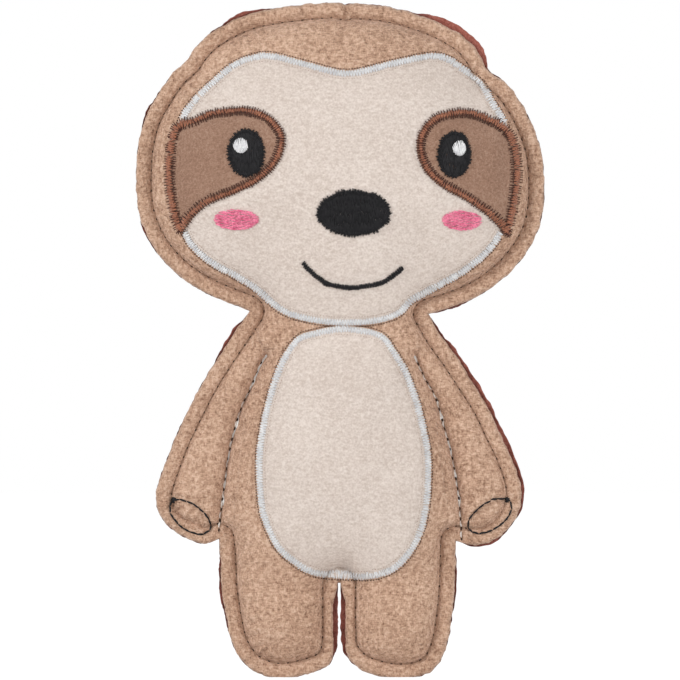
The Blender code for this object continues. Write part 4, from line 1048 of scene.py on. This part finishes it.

# %% [markdown]
# ## Ways of stitching
# Satin runs across a border, thread beside thread, with ends that never quite line up. A fill
# covers a shape in rows, broken and staggered where they are long. A running stitch is a dashed
# line: thread above the cloth, then a dark mark of painted shade where the needle goes in, then
# thread again.

# %% Satin, fill and running stitches
def satin(path, width, pitch, ragged, slant, seed, closed=True):
    """Stitches across a border that lies to the left of a path."""
    dice = np.random.default_rng(seed)
    ring = respace(path, pitch, closed)
    way, left = sides_of(ring, closed)
    count = len(ring)
    out = dice.uniform(-1, 1, count) * ragged
    into = width + dice.uniform(-1, 1, count) * ragged
    shift = (np.arange(count) % 2 * 2 - 1) * slant
    return (ring - left * out[:, None] - way * shift[:, None],
            ring + left * into[:, None] + way * shift[:, None])


def fill(polygon, pitch, longest, ragged, angle_deg, seed):
    """Rows of stitches over a shape, at an angle."""
    dice = np.random.default_rng(seed)
    a = math.radians(angle_deg)
    turn = np.array([[math.cos(a), -math.sin(a)], [math.sin(a), math.cos(a)]])
    flat = polygon @ turn
    starts, ends = [], []
    for row in np.arange(flat[:, 0].min() + pitch / 2, flat[:, 0].max(), pitch):
        height = flat[:, 0] - row
        cross = np.nonzero(height * np.roll(height, -1) < 0)[0]
        if len(cross) < 2:
            continue
        after = (cross + 1) % len(flat)
        t = height[cross] / (height[cross] - height[after])
        z = flat[cross, 1] + (flat[after, 1] - flat[cross, 1]) * t
        low = z.min() - dice.uniform(-0.3, 1) * ragged
        high = z.max() + dice.uniform(-0.3, 1) * ragged
        parts = max(int(math.ceil((high - low) / longest)), 1)
        cuts = np.linspace(low, high, parts + 1)
        cuts[1:-1] += dice.uniform(-0.3, 0.3, parts - 1) * longest
        for b, c in zip(cuts[:-1], cuts[1:]):
            starts.append((row, b - pitch / 3))
            ends.append((row + dice.uniform(-0.3, 0.3) * pitch, c + pitch / 3))
    return np.array(starts) @ turn.T, np.array(ends) @ turn.T


def running(path, stitch, gap, closed=False, seed=1):
    """Stitches along a path, and dark marks between them: painted shade where the needle goes in."""
    dice = np.random.default_rng(seed)
    fine = respace(path, 0.1 * MM, closed)
    count = max(int(len(fine) * 0.1 * MM / (stitch + gap)), 1)
    pitch = len(fine) / count
    at = np.arange(count) * pitch + dice.uniform(-0.05, 0.05, count) * pitch
    share = stitch / (stitch + gap)

    def points(where):
        where = np.round(where).astype(int)
        return fine[where % len(fine) if closed else np.clip(where, 0, len(fine) - 1)]
    index, last = at, at + pitch * share
    way = points(at + pitch) - points(last)
    # Painted shade where the needle goes in: a short dark mark between two stitches.
    hole_shade = points(last) + way * 0.15, points(last) + way * 0.85
    good = np.linalg.norm(hole_shade[1] - hole_shade[0], axis=1) > 0.05 * MM
    return (points(index), points(last)), (hole_shade[0][good], hole_shade[1][good])


def joined(*sets):
    return np.vstack([s[0] for s in sets]), np.vstack([s[1] for s in sets])


def only(stitches, keep):
    return stitches[0][keep], stitches[1][keep]


def middles(stitches):
    return (stitches[0] + stitches[1]) / 2

# %% [markdown]
# ## Borders of the patches
# White satin holds the face and belly patches, with a fine line of marks on each side of it: brown
# tack stitches inside it, and outside it dark marks of painted shade where the needle went in. The
# brown border round each eye patch is coarser: the gaps at both edges of its zigzag are painted
# shade, near-black stitches laid under it.

# %% Sew the borders
SATIN_LIFT = PATCH_LIFT + 0.20 * MM
SATIN_PITCH = 0.44 * MM
HOLE_PITCH = 0.9 * MM


def off_eye_patches(stitches):
    """The stitches of a set that no eye patch covers."""
    clear = np.ones(len(stitches[0]), bool)
    for edge in EYE_EDGES.values():
        clear &= ~inside(middles(stitches), inset(edge, -0.5 * MM))
    return only(stitches, clear)


def marks_beside_borders(distance, length, seed):
    """Small marks along a line beside each white border."""
    lines = [running(inset(edge, distance), length, HOLE_PITCH - length, True, seed + i)[0]
             for i, edge in enumerate((FACE_EDGE, BELLY_EDGE))]
    return off_eye_patches(joined(*lines))


face_satin = satin(counter_clockwise(FACE_EDGE), SATIN_WIDTH, SATIN_PITCH, 0.16 * MM, 0.10 * MM, 3)
sew("face_border_stitches", off_eye_patches(face_satin), 0.22 * MM, 0.13 * MM, SATIN_LIFT,
    WHITE_THREAD, "head", ("face_border_top", "face_border_bottom"), seed=3,
    uneven=0.8)
belly_satin = satin(counter_clockwise(BELLY_EDGE), SATIN_WIDTH, SATIN_PITCH, 0.18 * MM, 0.10 * MM, 4)
sew("belly_border_stitches", belly_satin, 0.22 * MM, 0.13 * MM, SATIN_LIFT, WHITE_THREAD, "head",
    ("belly_border",), seed=4, uneven=0.8)

# Dark marks just outside each white border: painted shade where the needle went in.
sew("border_needle_holes", marks_beside_borders(-0.50 * MM, 0.4 * MM, 5), 0.19 * MM, 0.02 * MM,
    0.08 * MM, NEEDLE_HOLE_SHADE, "head", seed=5)
sew("border_tack_stitches", marks_beside_borders(SATIN_WIDTH + 0.75 * MM, 0.3 * MM, 7), 0.10 * MM,
    0.03 * MM, SATIN_LIFT, BROWN_THREAD, "head", seed=6)

# %% Sew the eye patches' borders
for i, (word, edge) in enumerate(EYE_EDGES.items()):
    edge = counter_clockwise(edge)
    # Near-black stitches under the brown satin, reaching past its edges: painted shade in the gaps of its
    # zigzag.
    shade_spikes = satin(counter_clockwise(inset(edge, -0.45 * MM)), EYE_SATIN_WIDTH + 0.95 * MM,
                   0.88 * MM, 0.18 * MM, 0.06 * MM, 20 + i)
    sew(f"{word}_eye_border_shade_spikes", shade_spikes, 0.24 * MM, 0.20 * MM, EYE_LIFT + 0.14 * MM, RUST_SHADE_THREAD,
        "head", seed=20 + i)
    top = satin(counter_clockwise(inset(edge, 0.25 * MM)), EYE_SATIN_WIDTH - 0.55 * MM, 0.44 * MM,
                0.14 * MM, 0.14 * MM, 30 + i)
    sew(f"{word}_eye_border_stitches", top, 0.24 * MM, 0.30 * MM, EYE_LIFT + 0.28 * MM, RUST_THREAD,
        "head", (f"{word}_eye_border",), seed=30 + i, uneven=0.5)

# %% [markdown]
# ## Eyes, nose, mouth and cheeks
# All of these are machine embroidery. A fill of upright threads covers the shape and a radial ring
# of satin lies over its edge, whose uneven ends make the ragged outline.

# %% Embroider the face
EYE_THREAD_LIFT = EYE_LIFT + 0.30 * MM
FACE_THREAD_LIFT = PATCH_LIFT + PATCH_PUFF + 0.25 * MM


def black_shape(name, shape, lift, ring_width, seed):
    """A black filled shape with a satin ring over its edge."""
    edge = counter_clockwise(shape)
    rows = fill(inset(edge, ring_width * 0.4), 0.34 * MM, 3.6 * MM, 0.1 * MM, 0, seed)
    sew(f"{name}_fill_stitches", rows, 0.28 * MM, 0.12 * MM, lift, BLACK_THREAD, "head",
        (name,), seed=seed, uneven=0.4)
    ring = satin(edge, ring_width, 0.46 * MM, 0.42 * MM, 0.05 * MM, seed + 1)
    sew(f"{name}_edge_stitches", ring, 0.25 * MM, 0.24 * MM, lift + 0.10 * MM, BLACK_THREAD, "head",
        seed=seed + 1, uneven=0.3)


for word, pixels, shine, seed in (("left", LEFT_EYE_PX, LEFT_HIGHLIGHT_PX, 40),
                                  ("right", RIGHT_EYE_PX, RIGHT_HIGHLIGHT_PX, 44)):
    black_shape(f"{word}_eye", ellipse(pixels), EYE_THREAD_LIFT, 1.5 * MM, seed)
    light = fill(ellipse(shine, 0.3 * MM), 0.36 * MM, 6 * MM, 0.12 * MM, 12, 48)
    sew(f"{word}_highlight_stitches", light, 0.23 * MM, 0.30 * MM, EYE_THREAD_LIFT + 0.30 * MM,
        WHITE_THREAD, "head", (f"{word}_eye_highlight",), seed=48)
black_shape("nose", ellipse(NOSE_PX), FACE_THREAD_LIFT, 1.7 * MM, 50)
for word, pixels in (("left", LEFT_CHEEK_PX), ("right", RIGHT_CHEEK_PX)):
    rows = fill(ellipse(pixels, 0.4 * MM), 0.46 * MM, 3.0 * MM, 0.35 * MM, 78, 56)
    sew(f"{word}_cheek_stitches", rows, 0.25 * MM, 0.28 * MM, FACE_THREAD_LIFT, PINK_THREAD, "head",
        (f"{word}_cheek",), seed=57, uneven=0.5)
mouth = curve(MOUTH_PX)
mouth_left = sides_of(mouth, closed=False)[1]
sew("mouth_stitches", satin(mouth - mouth_left * 0.75 * MM, 1.5 * MM, 0.40 * MM, 0.18 * MM,
                            0.06 * MM, 60, False),
    0.25 * MM, 0.36 * MM, FACE_THREAD_LIFT, BLACK_THREAD, "head", ("mouth",), seed=60,
    uneven=0.3)

# %% [markdown]
# ## Seam, quilting and paws
# The panels are held by a brown running stitch just outside the crease. The arms are quilted
# off from the body by a pale one. Black stitches draw an oval on each paw, with a knot.

# %% Sew the running stitches
def in_area(stitches, body):
    return only(stitches, inside(middles(stitches), AREAS[FRONT][body]))


SEAM_LINE = inset(OUTLINE, RIM_WIDTH - 0.1 * MM)
seam_nodes = {body: [f"{body}_seam_thread"] for body in OUTER_BODIES}
seam_nodes["torso"] = ["left_hip_seam_thread", "right_hip_seam_thread"]
off_paws = [inset(ellipse(LEFT_PAW_PX, 0.4 * MM, -PAW_TILT_DEG), -0.8 * MM),
            inset(ellipse(RIGHT_PAW_PX, 0.4 * MM, PAW_TILT_DEG), -0.8 * MM)]
for side, word in ((FRONT, "front"), (BACK, "back")):
    dashes, hole_shades = running(SEAM_LINE, 2.0 * MM, 1.2 * MM, True, 70)
    for paw in off_paws:
        dashes, hole_shades = (only(set_of, ~inside(middles(set_of), paw)) for set_of in (dashes, hole_shades))
    for body, nodes in seam_nodes.items():
        sew(f"{body}_{word}_seam_stitches", in_area(dashes, body), 0.20 * MM, 0.18 * MM, 0.02 * MM,
            BROWN_THREAD, body, nodes if side == FRONT else (), side, 71)
        # Dark marks between the seam's stitches: painted shade where the needle went in.
        sew(f"{body}_{word}_seam_hole_shades", in_area(hole_shades, body), 0.24 * MM, 0.0, 0.06 * MM,
            NEEDLE_HOLE_SHADE, body, (), side, 72)
for word, quilt in (("left", QUILTS[0]), ("right", QUILTS[1])):
    for side, face in ((FRONT, "front"), (BACK, "back")):
        dashes, hole_shades = running(quilt, 1.8 * MM, 1.4 * MM, False, 73)
        nodes = (f"{word}_shoulder_thread", f"{word}_arm_fold_thread") if side == FRONT else ()
        sew(f"{word}_{face}_quilting", dashes, 0.28 * MM, 0.30 * MM, 0.26 * MM, PALE_THREAD,
            f"{word}_arm", nodes, side, 74)
        # Dark marks between the quilting's stitches: painted shade where the needle went in.
        sew(f"{word}_{face}_quilting_hole_shades", hole_shades, 0.36 * MM, 0.0, 0.26 * MM, NEEDLE_HOLE_SHADE,
            f"{word}_arm", (), side, 75)

# %% Sew the paw ovals
for word, pixels, tilt, knot in (("left", LEFT_PAW_PX, -PAW_TILT_DEG, (174, 500)),
                                 ("right", RIGHT_PAW_PX, PAW_TILT_DEG, (507.5, 500))):
    loop = ellipse(pixels, 0.4 * MM, tilt)
    dashes, _ = running(loop, 2.1 * MM, 0.15 * MM, True, 80)
    centre = place(knot)[0]
    dice = np.random.default_rng(81)
    angles = dice.uniform(0, math.pi, 5)
    spokes = np.c_[np.cos(angles), np.sin(angles)] * 0.9 * MM
    sew(f"{word}_paw_stitches", joined(dashes, (centre - spokes, centre + spokes)), 0.34 * MM,
        0.30 * MM, 0.20 * MM, BLACK_THREAD, f"{word}_arm", (f"{word}_paw_loop",), seed=82)

# %% [markdown]
# ## The squeaker
# The bulb and its reed keep their solids' shape. They lie inside the filling, so a plain
# moulded rubber and a plain hard plastic are all they need.

# %% Give the squeaker its finishes
rubber = Graph("squeaker_rubber", 0.45)
rubber.colour(rubber.ramp(rubber.noise(90), (0.35, (0.72, 0.64, 0.47)), (0.65, (0.84, 0.76, 0.60))))
rubber.bump(rubber.noise(1500), 0.05 * MM)
plastic = Graph("reed_plastic", 0.35)
plastic.colour(plastic.ramp(plastic.noise(160), (0.35, (0.70, 0.70, 0.70)), (0.65, (0.80, 0.80, 0.80))))
plastic.bump(plastic.noise(2500), 0.02 * MM)
frame["nodes"]["squeaker_bulb"].material_slots[0].material = rubber.material
frame["nodes"]["squeaker_reed"].material_slots[0].material = plastic.material

# %% [markdown]
# ## The cloth sheets
# The panels and patches are sheets, each with the size it was cut to; cloth hardly changes its
# area when it is stretched over a filling. Each sheet's points are read here, and nothing more is
# done with them.

def declare_sheet(obj):
    """Reads the positions of a sheet's points; nothing more is done with them."""
    mesh = obj.data
    co = np.zeros(len(mesh.vertices) * 3)
    mesh.vertices.foreach_get("co", co)


for (body, word), panel in PANELS.items():
    declare_sheet(panel)
declare_sheet(FACE)
declare_sheet(BELLY)
for obj in EYE_CLOTHS.values():
    declare_sheet(obj)

# %% [markdown]
# ## Light, floor and camera
# Soft light comes mostly from the left and front, with a pale surround that fills the shadows. The
# floor and the world are white only to the camera, so they add no light of their own. A long lens
# gives the flat, straight view of a product photograph.

# %% Set the stage
scene = bpy.context.scene
scene.view_settings.view_transform = "Standard"


def seen_directly(tree):
    """1 where a ray comes from the camera or through gloss or glass."""
    path = tree.nodes.new("ShaderNodeLightPath")
    total = path.outputs["Is Camera Ray"]
    for name in ("Is Glossy Ray", "Is Transmission Ray"):
        node = tree.nodes.new("ShaderNodeMath")
        node.operation = "MAXIMUM"
        tree.links.new(total, node.inputs[0])
        tree.links.new(path.outputs[name], node.inputs[1])
        total = node.outputs[0]
    return total


world = bpy.data.worlds.new("surround")
scene.world = world
world.use_nodes = True
tree = world.node_tree
tree.nodes.clear()
seen = tree.nodes.new("ShaderNodeBackground")
seen.inputs["Strength"].default_value = 1.0
seen.inputs["Color"].default_value = (1, 1, 1, 1)
lit = tree.nodes.new("ShaderNodeBackground")
lit.inputs["Strength"].default_value = 0.50
lit.inputs["Color"].default_value = (1.0, 0.99, 0.98, 1)
choice = tree.nodes.new("ShaderNodeMixShader")
tree.links.new(seen_directly(tree), choice.inputs["Fac"])
tree.links.new(lit.outputs[0], choice.inputs[1])
tree.links.new(seen.outputs[0], choice.inputs[2])
tree.links.new(choice.outputs[0], tree.nodes.new("ShaderNodeOutputWorld").inputs["Surface"])

FLOOR_HALF = 3.0
floor_mesh = bpy.data.meshes.new("floor")
floor_mesh.from_pydata([(-FLOOR_HALF, -FLOOR_HALF, -0.4 * MM), (FLOOR_HALF, -FLOOR_HALF, -0.4 * MM),
                        (FLOOR_HALF, FLOOR_HALF, -0.4 * MM), (-FLOOR_HALF, FLOOR_HALF, -0.4 * MM)],
                       [], [(0, 1, 2, 3)])
floor = bpy.data.objects.new("floor", floor_mesh)
scene.collection.objects.link(floor)
paint = bpy.data.materials.new("pale_floor")
paint.use_nodes = True
tree = paint.node_tree
matt = tree.nodes["Principled BSDF"]
matt.inputs["Base Color"].default_value = (0.85, 0.85, 0.85, 1)
matt.inputs["Roughness"].default_value = 0.9
glow = tree.nodes.new("ShaderNodeEmission")
glow.inputs["Strength"].default_value = 1.08
share = tree.nodes.new("ShaderNodeMath")
share.operation = "MULTIPLY"
share.inputs[1].default_value = 0.9
tree.links.new(seen_directly(tree), share.inputs[0])
blend = tree.nodes.new("ShaderNodeMixShader")
tree.links.new(share.outputs[0], blend.inputs["Fac"])
tree.links.new(matt.outputs[0], blend.inputs[1])
tree.links.new(glow.outputs[0], blend.inputs[2])
tree.links.new(blend.outputs[0], tree.nodes["Material Output"].inputs["Surface"])
floor_mesh.materials.append(paint)
floor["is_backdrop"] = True


MIDDLE = Vector((0.0, 0.0, float(CAD_HIGH[2]) / 2))


def lamp(name, place_at, size, power):
    """A soft square lamp that looks at the toy's middle."""
    light = bpy.data.lights.new(name, "AREA")
    light.size = size
    light.energy = power
    obj = bpy.data.objects.new(name, light)
    obj.location = place_at
    obj.rotation_euler = (MIDDLE - Vector(place_at)).to_track_quat("-Z", "Y").to_euler()
    scene.collection.objects.link(obj)


lamp("key", (-1.05, -0.80, 0.75), size=0.50, power=9.5)
lamp("fill", (1.15, -0.90, 0.25), size=0.60, power=6.5)
lamp("front", (0.25, -1.6, 0.15), size=1.2, power=5.5)
lamp("rear", (0.5, 1.4, 0.9), size=1.2, power=9.0)

PHOTO_SIDE = 680
CAMERA_DISTANCE = 2.5
camera_data = bpy.data.cameras.new("camera")
camera = bpy.data.objects.new("camera", camera_data)
scene.collection.objects.link(camera)
centre = place((PHOTO_SIDE / 2, PHOTO_SIDE / 2))[0]
camera.location = (centre[0], -CAMERA_DISTANCE, centre[1])
camera.rotation_euler = (math.radians(90), 0, 0)
camera_data.sensor_width = 36.0
camera_data.lens = camera_data.sensor_width * CAMERA_DISTANCE / (PHOTO_SIDE * PIXEL)
camera_data.clip_start = 0.1
camera_data.clip_end = 20.0
scene.camera = camera
print("lens, mm:", round(camera_data.lens, 1))
